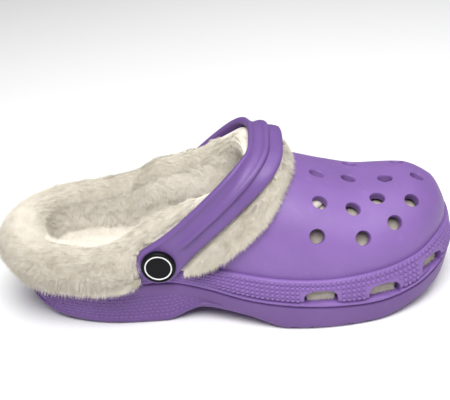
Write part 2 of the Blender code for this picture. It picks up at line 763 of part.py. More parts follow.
def foam_cutters(home):
    """Boss to add at each rivet, and the bore and recess through it."""
    bosses = bmesh.new()
    bores = bmesh.new()
    recesses = bmesh.new()
    for sign in (-1, 1):
        side = Side(sign)
        side.rod(bosses, BOSS_DIAMETER / 2, side.wall_inner + WALL * 0.4, side.boss, 24)
        side.rod(bores, SHANK_DIAMETER / 2 + CLEARANCE, side.wall_inner - WALL, side.boss + WALL, 20)
        side.rod(recesses, WASHER_DIAMETER / 2 + CLEARANCE, side.wall_inner - WALL * 1.2, side.recess, 24)
    return (finish_cutter("boss_form", bosses, home), finish_cutter("bore_cutter", bores, home),
            finish_cutter("recess_cutter", recesses, home))


def centre_on_ground(objects, parent):
    """Put the middle of the base of the whole shoe at the origin."""
    graph = bpy.context.evaluated_depsgraph_get()
    low = Vector((1e9, 1e9, 1e9))
    high = -low
    for obj in objects:
        shape = obj.evaluated_get(graph)
        for corner in shape.bound_box:
            point = obj.matrix_world @ Vector(corner)
            low = Vector(map(min, low, point))
            high = Vector(map(max, high, point))
    parent.location = (-(low.x + high.x) / 2, -(low.y + high.y) / 2, -low.z)
    for obj in bpy.data.objects:
        if obj is not parent:
            obj.parent = parent


def main():
    clear_scene()
    home = collection("fleece_lined_clog")
    tools = collection("cutters")
    foam = material("foam_purple", (0.31, 0.17, 0.56), 0.55)
    strap_foam = material("foam_strap", (0.27, 0.14, 0.50), 0.50)
    fleece = material("fleece_cream", (0.76, 0.70, 0.60), 0.95)
    black = material("rivet_black", (0.01, 0.01, 0.012), 0.30)
    grey = material("washer_grey", (0.30, 0.30, 0.32), 0.50)

    body = loft("clog_body", body_rings(), False, home, foam)
    bosses, bores, recesses = foam_cutters(tools)
    boolean(body, bosses, "UNION")
    boolean(body, recesses, "DIFFERENCE")
    boolean(body, bores, "DIFFERENCE")
    boolean(body, vent_cutter(tools), "DIFFERENCE")
    boolean(body, slot_cutter(tools), "DIFFERENCE")
    boolean(body, tread_cutter(tools), "DIFFERENCE")

    strap = strap_loft("heel_strap", STRAP_STEPS, 0.0, 0.0, 0.0, home, strap_foam)
    boolean(strap, strap_hole_cutter(tools), "DIFFERENCE")

    liner = loft("fleece_liner", liner_rings(), True, home, fleece)
    boolean(liner, press_cutter(tools), "DIFFERENCE")
    strap_room = strap_loft("strap_room", STRAP_STEPS, CLEARANCE * 2, CLEARANCE * 2, STRAP_PRESS, tools, None)
    boolean(liner, strap_room, "DIFFERENCE")
    insole = loft("fleece_insole", insole_rings(), False, home, fleece)

    pieces = [body, strap, liner, insole]
    for sign in (-1, 1):
        side = Side(sign)
        pieces.append(rivet(side, home, black))
        pieces.append(washer(side, home, grey))

    ground = bpy.data.objects.new("ground_centre", None)
    home.objects.link(ground)
    bpy.context.view_layer.update()
    centre_on_ground(pieces, ground)


main()
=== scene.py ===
# %% [markdown]
# A fleece-lined foam clog for the right foot, dressed on its frame.
# The real thing is one moulding of foam with a strap snapped on at two rivets and a
# pile sock pushed inside, whose thick cuff rolls out over the edge.
# We load the frame first, so that every surface made here sits where the solids are.

# %% Load the frame
import math

import bmesh
import bpy
import numpy as np
from mathutils import Matrix, Vector


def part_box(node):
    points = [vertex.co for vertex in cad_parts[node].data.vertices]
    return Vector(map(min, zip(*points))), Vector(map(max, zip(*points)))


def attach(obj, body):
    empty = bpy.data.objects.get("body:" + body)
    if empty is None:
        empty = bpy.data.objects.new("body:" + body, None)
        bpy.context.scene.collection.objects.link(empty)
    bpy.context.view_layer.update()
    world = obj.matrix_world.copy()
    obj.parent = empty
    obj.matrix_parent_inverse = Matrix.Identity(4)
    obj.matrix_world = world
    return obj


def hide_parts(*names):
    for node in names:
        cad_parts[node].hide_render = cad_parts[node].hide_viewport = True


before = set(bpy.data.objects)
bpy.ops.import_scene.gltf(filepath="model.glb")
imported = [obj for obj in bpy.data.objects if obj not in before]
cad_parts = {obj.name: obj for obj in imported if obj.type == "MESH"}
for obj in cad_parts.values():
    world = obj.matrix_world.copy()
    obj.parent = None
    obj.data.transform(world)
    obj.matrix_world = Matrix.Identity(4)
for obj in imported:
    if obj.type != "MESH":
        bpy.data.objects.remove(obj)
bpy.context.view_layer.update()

# %% [markdown]
# The shoe is drawn from a few named sizes and short tables of shares, heel to toe.
# A last maker works the same way: one outline, and heights at a dozen stations.
# The same numbers shape the solids, so this finer skin fits them.

# %% Sizes of the clog
LENGTH = 0.268
BALL_WIDTH = 0.108
SOLE_HEIGHT = 0.044
UPPER_HEIGHT = 0.094
WALL = 0.0045
BAND_LEDGE = 0.004
DOME_POWER = 2.8
TOE_ROUND = 0.008
HEEL_ROUND = 0.018
FLEECE = 0.006
CUFF = 0.024
UPPER_INSIDE = BAND_LEDGE + WALL

OUTLINE = [
    (0.000, 0.000), (0.030, -0.208), (0.115, -0.325), (0.250, -0.381), (0.400, -0.383),
    (0.530, -0.469), (0.660, -0.518), (0.780, -0.491), (0.880, -0.405), (0.960, -0.225),
    (1.000, 0.056), (0.978, 0.268), (0.900, 0.443), (0.780, 0.485), (0.660, 0.470),
    (0.530, 0.401), (0.400, 0.352), (0.250, 0.356), (0.115, 0.334), (0.030, 0.210),
]

# Share of the length, then tread edge, side groove, band top and footbed as shares
# of the sole height, and the crest as a share of the upper height.
STATIONS = [
    (0.000, 0.320, 0.660, 1.000, 0.610, 0.745),
    (0.112, 0.057, 0.645, 0.966, 0.610, 0.890),
    (0.224, 0.000, 0.614, 0.932, 0.590, 0.957),
    (0.336, 0.000, 0.670, 0.952, 0.570, 0.990),
    (0.430, 0.220, 0.568, 0.889, 0.520, 1.000),
    (0.522, 0.160, 0.460, 0.836, 0.455, 0.979),
    (0.616, 0.000, 0.402, 0.789, 0.386, 0.910),
    (0.710, 0.000, 0.364, 0.768, 0.352, 0.812),
    (0.800, 0.000, 0.341, 0.790, 0.340, 0.745),
    (0.895, 0.130, 0.420, 0.864, 0.364, 0.735),
    (0.956, 0.240, 0.540, 0.966, 0.430, 0.660),
    (1.000, 0.385, 0.600, 0.977, 0.500, 0.510),
]
COLLAR = [
    (-0.100, 0.540), (0.110, 0.532), (0.200, 0.520), (0.270, 0.548), (0.343, 0.628),
    (0.448, 0.645), (0.522, 0.723), (0.590, 0.830), (0.630, 0.920), (0.680, 1.060),
]


# %% [markdown]
# Straight lines between the stations would show as kinks in the foam. A cubic through
# each table that never swings past its own values gives the even flow of a carved last.

# %% Smooth curves through the tables
def smooth_curve(rows, column, scale):
    knots = np.array([row[0] for row in rows])
    values = np.array([row[column] for row in rows]) * scale
    steps = np.diff(knots)
    slopes = np.diff(values) / steps
    ends = np.zeros(len(knots))
    for i in range(1, len(knots) - 1):
        if slopes[i - 1] * slopes[i] > 0:
            before = 2 * steps[i] + steps[i - 1]
            after = steps[i] + 2 * steps[i - 1]
            ends[i] = (before + after) / (before / slopes[i - 1] + after / slopes[i])
    ends[0], ends[-1] = slopes[0], slopes[-1]

    def value(share):
        share = np.clip(np.asarray(share, dtype=float), knots[0], knots[-1])
        i = np.clip(np.searchsorted(knots, share, side="right") - 1, 0, len(steps) - 1)
        t = (share - knots[i]) / steps[i]
        low = values[i] * (1 + 2 * t) * (1 - t) ** 2 + steps[i] * ends[i] * t * (1 - t) ** 2
        high = values[i + 1] * t * t * (3 - 2 * t) - steps[i] * ends[i + 1] * t * t * (1 - t)
        return low + high

    return value


tread_height = smooth_curve(STATIONS, 1, SOLE_HEIGHT)
groove_height = smooth_curve(STATIONS, 2, SOLE_HEIGHT)
band_height = smooth_curve(STATIONS, 3, SOLE_HEIGHT)
footbed_height = smooth_curve(STATIONS, 4, SOLE_HEIGHT)
crest_height = smooth_curve(STATIONS, 5, UPPER_HEIGHT)
collar_height = smooth_curve(COLLAR, 1, UPPER_HEIGHT)
print("band height at the ball", round(float(band_height(0.7)) * 1000, 1), "mm")


# %% [markdown]
# Seen from above, the sole is one closed curve that bends inward for a right foot. A
# closed spline through twenty points draws it, and moving it inward gives every wall.

# %% The outline of the sole
def control_points():
    points = np.array([(a * LENGTH, b * BALL_WIDTH) for a, b in OUTLINE])
    count = len(points)
    system = np.zeros((count, count))
    for i in range(count):
        system[i, i] = 4 / 6
        system[i, i - 1] = 1 / 6
        system[i, (i + 1) % count] = 1 / 6
    return np.linalg.solve(system, points)


CONTROL = control_points()


def outline(turns, inset):
    """Points round the sole, heel by the lateral side to the toe, moved inward."""
    turns = np.atleast_1d(np.asarray(turns, dtype=float)) % 1.0
    count = len(CONTROL)
    place = turns * count
    i = np.floor(place).astype(int)
    t = (place - i)[:, None]
    a, b, c, d = [CONTROL[(i + k) % count] for k in (-1, 0, 1, 2)]
    point = (1 - t) ** 3 * a + (3 * t ** 3 - 6 * t ** 2 + 4) * b
    point = (point + (-3 * t ** 3 + 3 * t ** 2 + 3 * t + 1) * c + t ** 3 * d) / 6
    along = -(1 - t) ** 2 * a + (3 * t ** 2 - 4 * t) * b
    along = along + (-3 * t ** 2 + 2 * t + 1) * c + t ** 2 * d
    along = along / np.linalg.norm(along, axis=1)[:, None]
    inward = np.column_stack([-along[:, 1], along[:, 0]])
    return point + inward * np.reshape(inset, (-1, 1))


edge = outline(np.arange(400) / 400, 0.0)
print("sole", np.round((edge.max(0) - edge.min(0)) * 1000, 1), "mm")


# %% The two sides of the outline
def side_lines(inset, count):
    """The lateral and the medial side, each sorted heel to toe."""
    rim = outline(np.arange(count) / count, inset)
    half = count // 2
    return [line[np.argsort(line[:, 0])] for line in (rim[:half], rim[half:])]


def across_at(line, x):
    return np.interp(x, line[:, 0], line[:, 1])


# %% [markdown]
# The upper is a dome over the band: low at the toe, high over the instep, and round in
# section. One height function describes it, and a wall is a path up the dome from the
# band to the foam edge, so the outside, the inside and the lining all come from it.

# %% The closed dome that the upper is cut from
FINE, END_SPARE = 1600, 0.0003


def dome(inset, drop=0.0):
    """The dome's height at a place, for a wall at this inset, lowered by drop."""
    rim = outline(np.arange(FINE) / FINE, inset)
    tip, tail = int(np.argmax(rim[:, 0])), int(np.argmin(rim[:, 0]))
    lateral = np.roll(rim, -tail, axis=0)[:(tip - tail) % FINE + 1]
    medial = np.roll(rim, -tip, axis=0)[:(tail - tip) % FINE + 1][::-1]
    heel, toe = rim[tail, 0], rim[tip, 0]

    def height(x, y):
        low, high = across_at(lateral, x), across_at(medial, x)
        half = np.maximum((high - low) / 2, 1e-6)
        side = np.clip(np.abs(y - (low + high) / 2) / half, 0, 1)
        base = band_height(x / LENGTH)
        rise = crest_height(x / LENGTH) - drop - base
        front = np.clip((x - toe + TOE_ROUND) / (TOE_ROUND + END_SPARE), 0, 1)
        back = np.clip((heel + HEEL_ROUND - x) / (HEEL_ROUND + END_SPARE), 0, 1)
        rise = rise * np.sqrt(1 - front ** 2) * np.sqrt(1 - back ** 2)
        return base + rise * np.sqrt(1 - side ** DOME_POWER)

    return height


# %% The wall, from the side band to the foam edge at the collar
SPINE_START, SPINE_SHARE = 0.10, 0.35


class Wall:
    """Paths up the dome from the band; level 0 is the band and 1 the edge plus lift."""

    def __init__(self, inset, turns, lift=0.0):
        self.height = dome(inset, inset - BAND_LEDGE)
        self.start = outline(turns, inset)
        x = LENGTH * (SPINE_START + SPINE_SHARE * outline(turns, 0.0)[:, 0] / LENGTH)
        self.way = np.column_stack([x, np.zeros(len(x))]) - self.start
        shares = np.linspace(0.0, 1.0, FINE) ** 2
        px = self.start[:, :1] + self.way[:, :1] * shares
        py = self.start[:, 1:] + self.way[:, 1:] * shares
        over = self.height(px, py) - collar_height(px / LENGTH) - lift
        k = np.argmax(over > 0, axis=1)
        rows = np.arange(len(k))
        part = over[rows, k - 1] / (over[rows, k - 1] - over[rows, k])
        self.reach = shares[k - 1] + (shares[k] - shares[k - 1]) * part

    def points(self, level):
        share = (self.reach * np.asarray(level) ** 2)[:, None]
        plan = self.start + self.way * share
        return np.column_stack([plan, self.height(plan[:, 0], plan[:, 1])])


# %% [markdown]
# The frame's origin is the middle of the shoe's footprint, while the tables start at
# the back of the heel. The rivet is on a known place in both, so it gives the shift.

# %% Shift from the drawing to the frame
PIVOT = np.array([0.343 * LENGTH, 0.0, 0.0455])
BOSS_PROUD = 0.0008
GAP = 0.0003
STRAP_THICKNESS = 0.0045
CAP_THICKNESS = 0.0026
sides = {}
for name, sign, line in zip(("lateral", "medial"), (-1, 1), side_lines(0.0, 400)):
    sides[name] = (sign, abs(float(across_at(line, PIVOT[0]))))
strap_out = {k: v[1] + BOSS_PROUD + GAP + STRAP_THICKNESS for k, v in sides.items()}
cap_low, cap_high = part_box("rivet_button_lateral")
SHIFT = np.array([
    (cap_low.x + cap_high.x) / 2 - PIVOT[0],
    cap_low.y + strap_out["lateral"] + GAP + CAP_THICKNESS,
    0.0,
])
print("shift", np.round(SHIFT * 1000, 2), "mm")

# %% [markdown]
# The camera stands at the lateral side, a little behind the middle of the shoe and
# high enough to look down into the fleece. It is rolled a few degrees, as a hand-held
# camera is. Direction vectors make the turn plain: right, up, and back to the camera.

# %% Camera
AZIMUTH, ELEVATION, ROLL = math.radians(4.03), math.radians(29.03), math.radians(-5.53)
FOCAL_PIXELS = 863.57
PHOTO_WIDTH = 450
SENSOR_WIDTH = 36.0
CAMERA_PLACE = (0.16255, -0.45816, 0.3152)
outward = math.cos(ELEVATION)
back = Vector((math.sin(AZIMUTH) * outward, -math.cos(AZIMUTH) * outward, math.sin(ELEVATION)))
right = Vector((math.cos(AZIMUTH), math.sin(AZIMUTH), 0.0))
up = back.cross(right)
rolled_right = right * math.cos(ROLL) + up * math.sin(ROLL)
rolled_up = up * math.cos(ROLL) - right * math.sin(ROLL)
turn = Matrix((rolled_right, rolled_up, back)).transposed().to_4x4()
lens = bpy.data.cameras.new("studio_camera")
lens.sensor_width = SENSOR_WIDTH
lens.lens = SENSOR_WIDTH * FOCAL_PIXELS / PHOTO_WIDTH
lens.clip_start = 0.02
camera = bpy.data.objects.new("studio_camera", lens)
bpy.context.scene.collection.objects.link(camera)
camera.matrix_world = Matrix.Translation(Vector(CAMERA_PLACE) + Vector(SHIFT)) @ turn
bpy.context.scene.camera = camera
bpy.context.scene.view_settings.view_transform = "Standard"
bpy.context.scene.view_settings.look = "None"
print("lens", round(lens.lens, 1), "mm")

# %% [markdown]
# Soft light from broad panels keeps foam from looking like plastic: a strong one high in
# front of the shoe, as from a window, a weak one overhead, and a dim pale world that
# fills the shade. The floor is a wide pale sheet, and isn't part of the object.

# %% Floor, panels and sky
world = bpy.data.worlds.new("pale_room")
bpy.context.scene.world = world
world.use_nodes = True
sky = world.node_tree.nodes["Background"]
sky.inputs["Color"].default_value = (0.98, 0.98, 1.0, 1.0)
sky.inputs["Strength"].default_value = 0.15
SHOE_MIDDLE = (0.02, 0.0, 0.03)
FLOOR_HALF = 4


def panel(name, size, power, place):
    light = bpy.data.lights.new(name, "AREA")
    light.shape = "RECTANGLE"
    light.size, light.size_y = size
    light.energy = power
    lamp = bpy.data.objects.new(name, light)
    bpy.context.scene.collection.objects.link(lamp)
    lamp.location = place
    aim = Vector(SHOE_MIDDLE) - Vector(place)
    lamp.rotation_euler = aim.to_track_quat("-Z", "Y").to_euler()
    return lamp


panel("window_panel", (1.1, 0.8), 24.5, (0.08, -0.62, 1.15))
panel("overhead_panel", (1.2, 1.0), 7.0, (0.05, 0.30, 1.25))

floor_mesh = bpy.data.meshes.new("floor")
corners = [(x * FLOOR_HALF, y * FLOOR_HALF, 0) for x, y in ((-1, -1), (1, -1), (1, 1), (-1, 1))]
floor_mesh.from_pydata(corners, [], [(0, 1, 2, 3)])
floor = bpy.data.objects.new("floor", floor_mesh)
bpy.context.scene.collection.objects.link(floor)


# %% [markdown]
# Finishes are node materials, so they hold from any distance. Two helpers cover most
# of it: one lays noise in the object's own space, and one turns a value into bumps.

# %% Helpers for finishes
def new_material(name, colour, roughness):
    finish = bpy.data.materials.new(name)
    finish.use_nodes = True
    shader = finish.node_tree.nodes["Principled BSDF"]
    shader.inputs["Base Color"].default_value = (*colour, 1.0)
    shader.inputs["Roughness"].default_value = roughness
    finish.diffuse_color = (*colour, 1.0)
    return finish, finish.node_tree.nodes, finish.node_tree.links, shader


def noise(nodes, links, scale, detail=3.0, rough=0.5):
    where = nodes.new("ShaderNodeTexCoord")
    grain = nodes.new("ShaderNodeTexNoise")
    grain.inputs["Scale"].default_value = scale
    grain.inputs["Detail"].default_value = detail
    grain.inputs["Roughness"].default_value = rough
    links.new(where.outputs["Object"], grain.inputs["Vector"])
    return grain.outputs["Fac"]


def ramp(nodes, links, source, stops):
    band = nodes.new("ShaderNodeValToRGB")
    band.color_ramp.elements[0].position = stops[0][0]
    band.color_ramp.elements[0].color = (*stops[0][1], 1.0)
    band.color_ramp.elements[1].position = stops[-1][0]
    band.color_ramp.elements[1].color = (*stops[-1][1], 1.0)
    for position, colour in stops[1:-1]:
        band.color_ramp.elements.new(position).color = (*colour, 1.0)
    links.new(source, band.inputs["Fac"])
    return band.outputs["Color"]


def vary_roughness(nodes, links, shader, source, low, high):
    spread = nodes.new("ShaderNodeMapRange")
    spread.inputs["To Min"].default_value = low
    spread.inputs["To Max"].default_value = high
    links.new(source, spread.inputs["Value"])
    links.new(spread.outputs["Result"], shader.inputs["Roughness"])


def bump(nodes, links, shader, layers):
    """Stack bump layers given as (height socket, strength, distance)."""
    before = None
    for height, strength, distance in layers:
        step = nodes.new("ShaderNodeBump")
        step.inputs["Strength"].default_value = strength
        step.inputs["Distance"].default_value = distance
        links.new(height, step.inputs["Height"])
        if before is not None:
            links.new(before, step.inputs["Normal"])
        before = step.outputs["Normal"]
    links.new(before, shader.inputs["Normal"])


# %% [markdown]
# Closed-cell foam comes out of the mould with a fine matte skin. Its colour drifts a
# little, handling leaves faint paler scuffs, and tiny pits break up the shine.

# %% Foam finishes
def foam(name, colour, roughness):
    finish, nodes, links, shader = new_material(name, colour, roughness)
    dark = tuple(c * 0.90 for c in colour)
    pale = tuple(min(c * 1.06 + 0.008, 1) for c in colour)
    scuffed = tuple(min(c * 1.12 + 0.022, 1) for c in colour)
    drift = noise(nodes, links, 22.0, 4.0, 0.6)
    tone = ramp(nodes, links, drift, [(0.32, dark), (0.55, colour), (0.74, pale)])
    marks = noise(nodes, links, 95.0, 6.0, 0.72)
    mask = ramp(nodes, links, marks, [(0.60, (0, 0, 0)), (0.74, (0.55, 0.55, 0.55))])
    mix = nodes.new("ShaderNodeMix")
    mix.data_type = "RGBA"
    links.new(mask, mix.inputs["Factor"])
    links.new(tone, mix.inputs["A"])
    mix.inputs["B"].default_value = (*scuffed, 1.0)
    links.new(mix.outputs["Result"], shader.inputs["Base Color"])
    rubbed = noise(nodes, links, 60.0, 4.0, 0.6)
    vary_roughness(nodes, links, shader, rubbed, roughness - 0.09, roughness + 0.09)
    shader.inputs["Specular IOR Level"].default_value = 0.38
    pits = noise(nodes, links, 1500.0, 2.0, 0.5)
    soft = noise(nodes, links, 260.0, 2.0, 0.5)
    bump(nodes, links, shader, [(soft, 0.10, 0.0006), (pits, 0.16, 0.00022)])
    return finish


body_foam = foam("foam_lavender", (0.208, 0.112, 0.345), 0.50)
# Painted shade: the lower copy is darker so the sole's sides below the groove look shaded.
shaded_lower_foam = foam("foam_lower_painted_shade", (0.150, 0.074, 0.248), 0.54)
# Painted shade: the strap's copy of the foam is darker, for a strap that faces away from the light.
strap_foam = foam("foam_strap", (0.150, 0.078, 0.262), 0.46)
print("foam finishes", body_foam.name, strap_foam.name)

# %% [markdown]
# Pile is cream wool-like fibre. Each strand is thin geometry, so the finish itself is
# simple: fully matt, a touch of sheen, and a slow drift between cream and warm grey. The
# rivets are hard black plastic with a thin white ring, rubbed a little unevenly.

# %% Pile, backing, rivet and floor finishes
def pile_finish(name, colour, warm):
    finish, nodes, links, shader = new_material(name, colour, 0.95)
    drift = noise(nodes, links, 150.0, 5.0, 0.7)
    tone = ramp(nodes, links, drift, [(0.36, warm), (0.60, colour)])
    links.new(tone, shader.inputs["Base Color"])
    shader.inputs["Sheen Weight"].default_value = 0.25
    shader.inputs["Sheen Roughness"].default_value = 0.5
    shader.inputs["Specular IOR Level"].default_value = 0.15
    return finish


pile_cream = pile_finish("pile_cream", (0.775, 0.726, 0.632), (0.675, 0.618, 0.515))
# Painted light: a brighter copy of the pile for the inside of the sock and the insole, where less light
# reaches.
pile_painted_light = pile_finish("pile_painted_light", (0.915, 0.865, 0.772), (0.825, 0.765, 0.660))
pile_backing = pile_finish("pile_backing", (0.740, 0.690, 0.605), (0.690, 0.640, 0.550))
# Painted shade: the toe cloth is a darkened copy of the cream pile, for the dim inside of the toe box.
shaded_toe_cloth = pile_finish("shaded_toe_cloth", (0.430, 0.390, 0.340), (0.340, 0.300, 0.255))

rivet_black, nodes, links, shader = new_material("rivet_black", (0.003, 0.003, 0.004), 0.45)
shader.inputs["Specular IOR Level"].default_value = 0.14
vary_roughness(nodes, links, shader, noise(nodes, links, 700.0, 3.0, 0.6), 0.40, 0.56)

rivet_white, nodes, links, shader = new_material("rivet_white", (0.80, 0.80, 0.80), 0.40)
speck = noise(nodes, links, 900.0, 2.0, 0.5)
links.new(ramp(nodes, links, speck, [(0.3, (0.70, 0.70, 0.71)), (0.6, (0.84, 0.84, 0.84))]),
          shader.inputs["Base Color"])

washer_grey, nodes, links, shader = new_material("washer_grey", (0.30, 0.30, 0.32), 0.45)
bump(nodes, links, shader, [(noise(nodes, links, 1200.0), 0.2, 0.0002)])

floor_finish, nodes, links, shader = new_material("studio_floor", (0.86, 0.86, 0.86), 0.75)
patches = noise(nodes, links, 3.0)
links.new(ramp(nodes, links, patches, [(0.3, (0.85, 0.85, 0.855)), (0.7, (0.87, 0.87, 0.87))]),
          shader.inputs["Base Color"])
floor_mesh.materials.append(floor_finish)
print("finishes", len(bpy.data.materials))


# %% [markdown]
# Most pieces are skins between rings of points. A grid of quads is quick to write and
# shades evenly, and a ring can close on the next one or be capped across the shoe.

# %% Helpers that make pieces
def set_in_place(name, mesh, finish, nodes_replaced):
    """Make the mesh a piece of the shoe, with its finish and the nodes it stands for."""
    mesh.materials.append(finish)
    piece = bpy.data.objects.new(name, mesh)
    bpy.context.scene.collection.objects.link(piece)
    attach(piece, "root")
    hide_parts(*nodes_replaced)
    return piece


def add_piece(name, points, faces, finish, slot, nodes_replaced, smooth=True):
    mesh = bpy.data.meshes.new(name)
    mesh.from_pydata((np.asarray(points) + SHIFT).tolist(), [], faces)
    if smooth:
        mesh.shade_smooth()
    return set_in_place(name, mesh, finish, nodes_replaced)


def tube_faces(rows, count, base=0, closed=False, ends=True):
    """Quads between rings of points, with one flat face on each end of an open tube."""
    faces = []
    for r in range(rows if closed else rows - 1):
        low, high = base + r * count, base + (r + 1) % rows * count
        for i in range(count):
            j = (i + 1) % count
            faces.append((low + i, low + j, high + j, high + i))
    if ends and not closed:
        last = base + (rows - 1) * count
        faces.append(tuple(range(base, base + count))[::-1])
        faces.append(tuple(range(last, last + count)))
    return faces


def wide_faces(rows, count):
    """A tube as wide as the shoe, whose ends are capped with strips from side to side."""
    faces = tube_faces(rows, count, ends=False)
    half = count // 2
    cap = [(0, 1, count - 1), (half - 1, half, half + 1)]
    cap += [(i, i + 1, count - i - 1, count - i) for i in range(1, half - 1)]
    faces += [f[::-1] for f in cap]
    base = (rows - 1) * count
    return faces + [tuple(base + v for v in f) for f in cap]


def turn_out(mesh):
    """Turn every face outward, and give the volume inside."""
    shape = bmesh.new()
    shape.from_mesh(mesh)
    bmesh.ops.recalc_face_normals(shape, faces=shape.faces[:])
    shape.to_mesh(mesh)
    size = shape.calc_volume(signed=True)
    shape.free()
    return size


def face_out(piece):
    size = turn_out(piece.data)
    print(piece.name, len(piece.data.polygons), "faces", round(size * 1e6, 1), "cm3")
    return piece


# %% [markdown]
# Slots, vents and channels are holes in the moulding. A tool with the hole's shape is
# cut out of the foam, as a core pin in the mould would leave it, and then thrown away.

# %% Helpers that cut holes
def cutting_tool(name, points, faces):
    mesh = bpy.data.meshes.new(name)
    mesh.from_pydata((np.asarray(points) + SHIFT).tolist(), [], faces)
    turn_out(mesh)
    tool = bpy.data.objects.new(name, mesh)
    bpy.context.scene.collection.objects.link(tool)
    return tool


def cut(piece, tool):
    """Cut the tool out of the piece and keep the result as its mesh."""
    step = piece.modifiers.new("cut", "BOOLEAN")
    step.operation = "DIFFERENCE"
    step.solver = "EXACT"
    step.object = tool
    graph = bpy.context.evaluated_depsgraph_get()
    made = bpy.data.meshes.new_from_object(piece.evaluated_get(graph), depsgraph=graph)
    piece.modifiers.clear()
    piece.data = made
    bpy.data.objects.remove(tool, do_unlink=True)


# %% [markdown]
# The lower half of the moulding is the sole with the side band. Its side is a stack
# of rings: a rounded tread edge, a heel panel set back behind a sweeping crease, a
# groove, a bead, and the band that rolls over to the ledge under the upper.

# %% Sole: side profile
AROUND = 384
TURNS = np.arange(AROUND) / AROUND
CREASE = [
    (0.00, 0.90), (0.20, 0.88), (0.33, 0.78), (0.40, 0.52), (0.46, 0.10), (0.50, -0.30),
    (1.00, -0.30),
]
crease_level = smooth_curve(CREASE, 1, 1.0)
forward = smooth_curve([(0.0, 0.0), (0.40, 0.0), (0.56, 1.0), (1.0, 1.0)], 1, 1.0)

TREAD_INSET, EDGE_INSET, EDGE_REACH, EDGE_ROUND = 0.0095, 0.0052, 0.0034, 0.0040
SIDE_INSET, SIDE_FLARE, PANEL_DEPTH = 0.0018, 0.0014, 0.0009
GROOVE_HALF, BEAD_TOP, SHOULDER = 0.0014, 0.0043, 0.0022
BAND_SWELL, BAND_LEAN, TOE_LEAN, TOE_SPREAD = 0.0006, 0.0009, 0.0016, 0.14
FOOTBED_ROUND = 0.003

# Height over the middle of the groove, inset, and the dent that the bead has ahead of
# the arch.
GROOVE_AND_BEAD = [
    (-0.0009, 0.0006, 0.0), (-0.0004, 0.0016, 0.0), (0.0, 0.0019, 0.0),
    (0.0004, 0.0016, 0.0), (0.0009, 0.0004, 0.0), (0.0013, 0.0, 0.0),
    (0.0021, -0.0005, 0.0), (0.0029, -0.0004, 0.0), (0.0034, 0.0, 0.0009),
    (0.0038, 0.0, 0.0011), (BEAD_TOP, 0.0, 0.0003),
]


def side_ring(inset, height):
    plan = outline(TURNS, inset)
    return np.column_stack([plan, height(plan[:, 0] / LENGTH)])


def raised(height, lift):
    return lambda x: height(x) + lift


def mixed(low, high, share):
    return lambda x: low(x) * (1 - share) + high(x) * share


edge_top = raised(tread_height, EDGE_ROUND)
groove_low = raised(groove_height, -GROOVE_HALF)
bead_top = raised(groove_height, BEAD_TOP)
shoulder_foot = raised(band_height, -SHOULDER)


def panel_inset(share, under):
    """Inset of the side below the groove; under is 1 where the heel panel is set back."""
    return SIDE_INSET - SIDE_FLARE * share ** 0.7 + PANEL_DEPTH * under


def band_inset(share):
    """Inset of the band's face, from share 0 at the bead to 1 at the ledge."""
    swell = -BAND_SWELL * math.sin(math.pi * min(max(share, 0.0), 1.0) ** 0.8)
    return swell + BAND_LEAN * share ** 2


def toe_lean(turns):
    """How far the band's top leans in at the toe."""
    return TOE_LEAN * np.clip(1 - np.abs(turns - 0.5) / TOE_SPREAD, 0, 1) ** 0.8


# %% Sole: rings from the tread to the footbed
def lower_rings():
    rings = [side_ring(TREAD_INSET, tread_height)]
    plain = outline(TURNS, 0.0)[:, 0] / LENGTH
    for angle in np.linspace(0, math.pi / 2, 7):
        inset = EDGE_INSET - EDGE_REACH * math.sin(angle)
        rings.append(side_ring(inset, raised(tread_height, EDGE_ROUND * (1 - math.cos(angle)))))
    for share in np.linspace(0.06, 1.0, 20):
        under = 1 / (1 + np.exp((share - crease_level(plain)) / 0.035))
        rings.append(side_ring(panel_inset(share, under), mixed(edge_top, groove_low, share)))
    ahead = forward(plain)
    for lift, inset, dent in GROOVE_AND_BEAD:
        rings.append(side_ring(inset + dent * ahead, raised(groove_height, lift)))
    return rings


def band_rings():
    rings = []
    lean = toe_lean(TURNS)
    for share in np.linspace(0.08, 1.0, 10):
        face = band_inset(share) + lean * share
        rings.append(side_ring(face, mixed(bead_top, shoulder_foot, share)))
    for angle in np.linspace(0.2, math.pi / 2, 7):
        inset = BAND_LEAN + SHOULDER * (1 - math.cos(angle))
        height = raised(band_height, -SHOULDER * (1 - math.sin(angle)))
        rings.append(side_ring(np.minimum(inset + lean, BAND_LEDGE - 0.0002), height))
    rings.append(side_ring(BAND_LEDGE + GAP, raised(band_height, -GAP)))
    return rings


def inner_rings():
    rings = []
    for share in (0.0, 0.3, 0.6, 0.85):
        rings.append(side_ring(UPPER_INSIDE, mixed(band_height, footbed_height, share)))
    for angle in np.linspace(0.3, math.pi / 2, 5):
        inset = UPPER_INSIDE + FOOTBED_ROUND * (1 - math.cos(angle))
        height = raised(footbed_height, FOOTBED_ROUND * (1 - math.sin(angle)))
        rings.append(side_ring(inset, height))
    return rings


rings = lower_rings() + band_rings() + inner_rings()
sole = face_out(add_piece("clog_sole", np.concatenate(rings), wide_faces(len(rings), AROUND),
                          body_foam, "foam", ["clog_body"]))

# %% [markdown]
# Seven slots with flat feet and round tops go through the band round the toe. They are
# cut from one closed shape that is a little wider at the surface, which rounds the lip.

# %% Sole: slots through the band
SLOTS = [0.3095, 0.370, 0.432, 0.500, 0.568, 0.630, 0.690]
SLOT_WIDTH, SLOT_HEIGHT, SLOT_LIFT = 0.0190, 0.0088, 0.0033
SLOT_SHOULDER = 0.30
# Depth from the band's face, and size there.
SLOT_MOUTH = [(-0.004, 1.06), (0.0, 1.035), (0.0005, 1.01), (0.0010, 1.0), (0.0125, 1.0)]


def slot_frame(turn):
    start = outline([turn], 0.0)[0]
    inner = outline([turn], BAND_LEDGE)[0]
    inward = np.array([*(inner - start), 0.0])
    inward /= np.linalg.norm(inward)
    across = np.cross([0.0, 0.0, 1.0], inward)
    base = float(groove_height(start[0] / LENGTH)) + SLOT_LIFT
    return np.array([*start, base]), inward, across


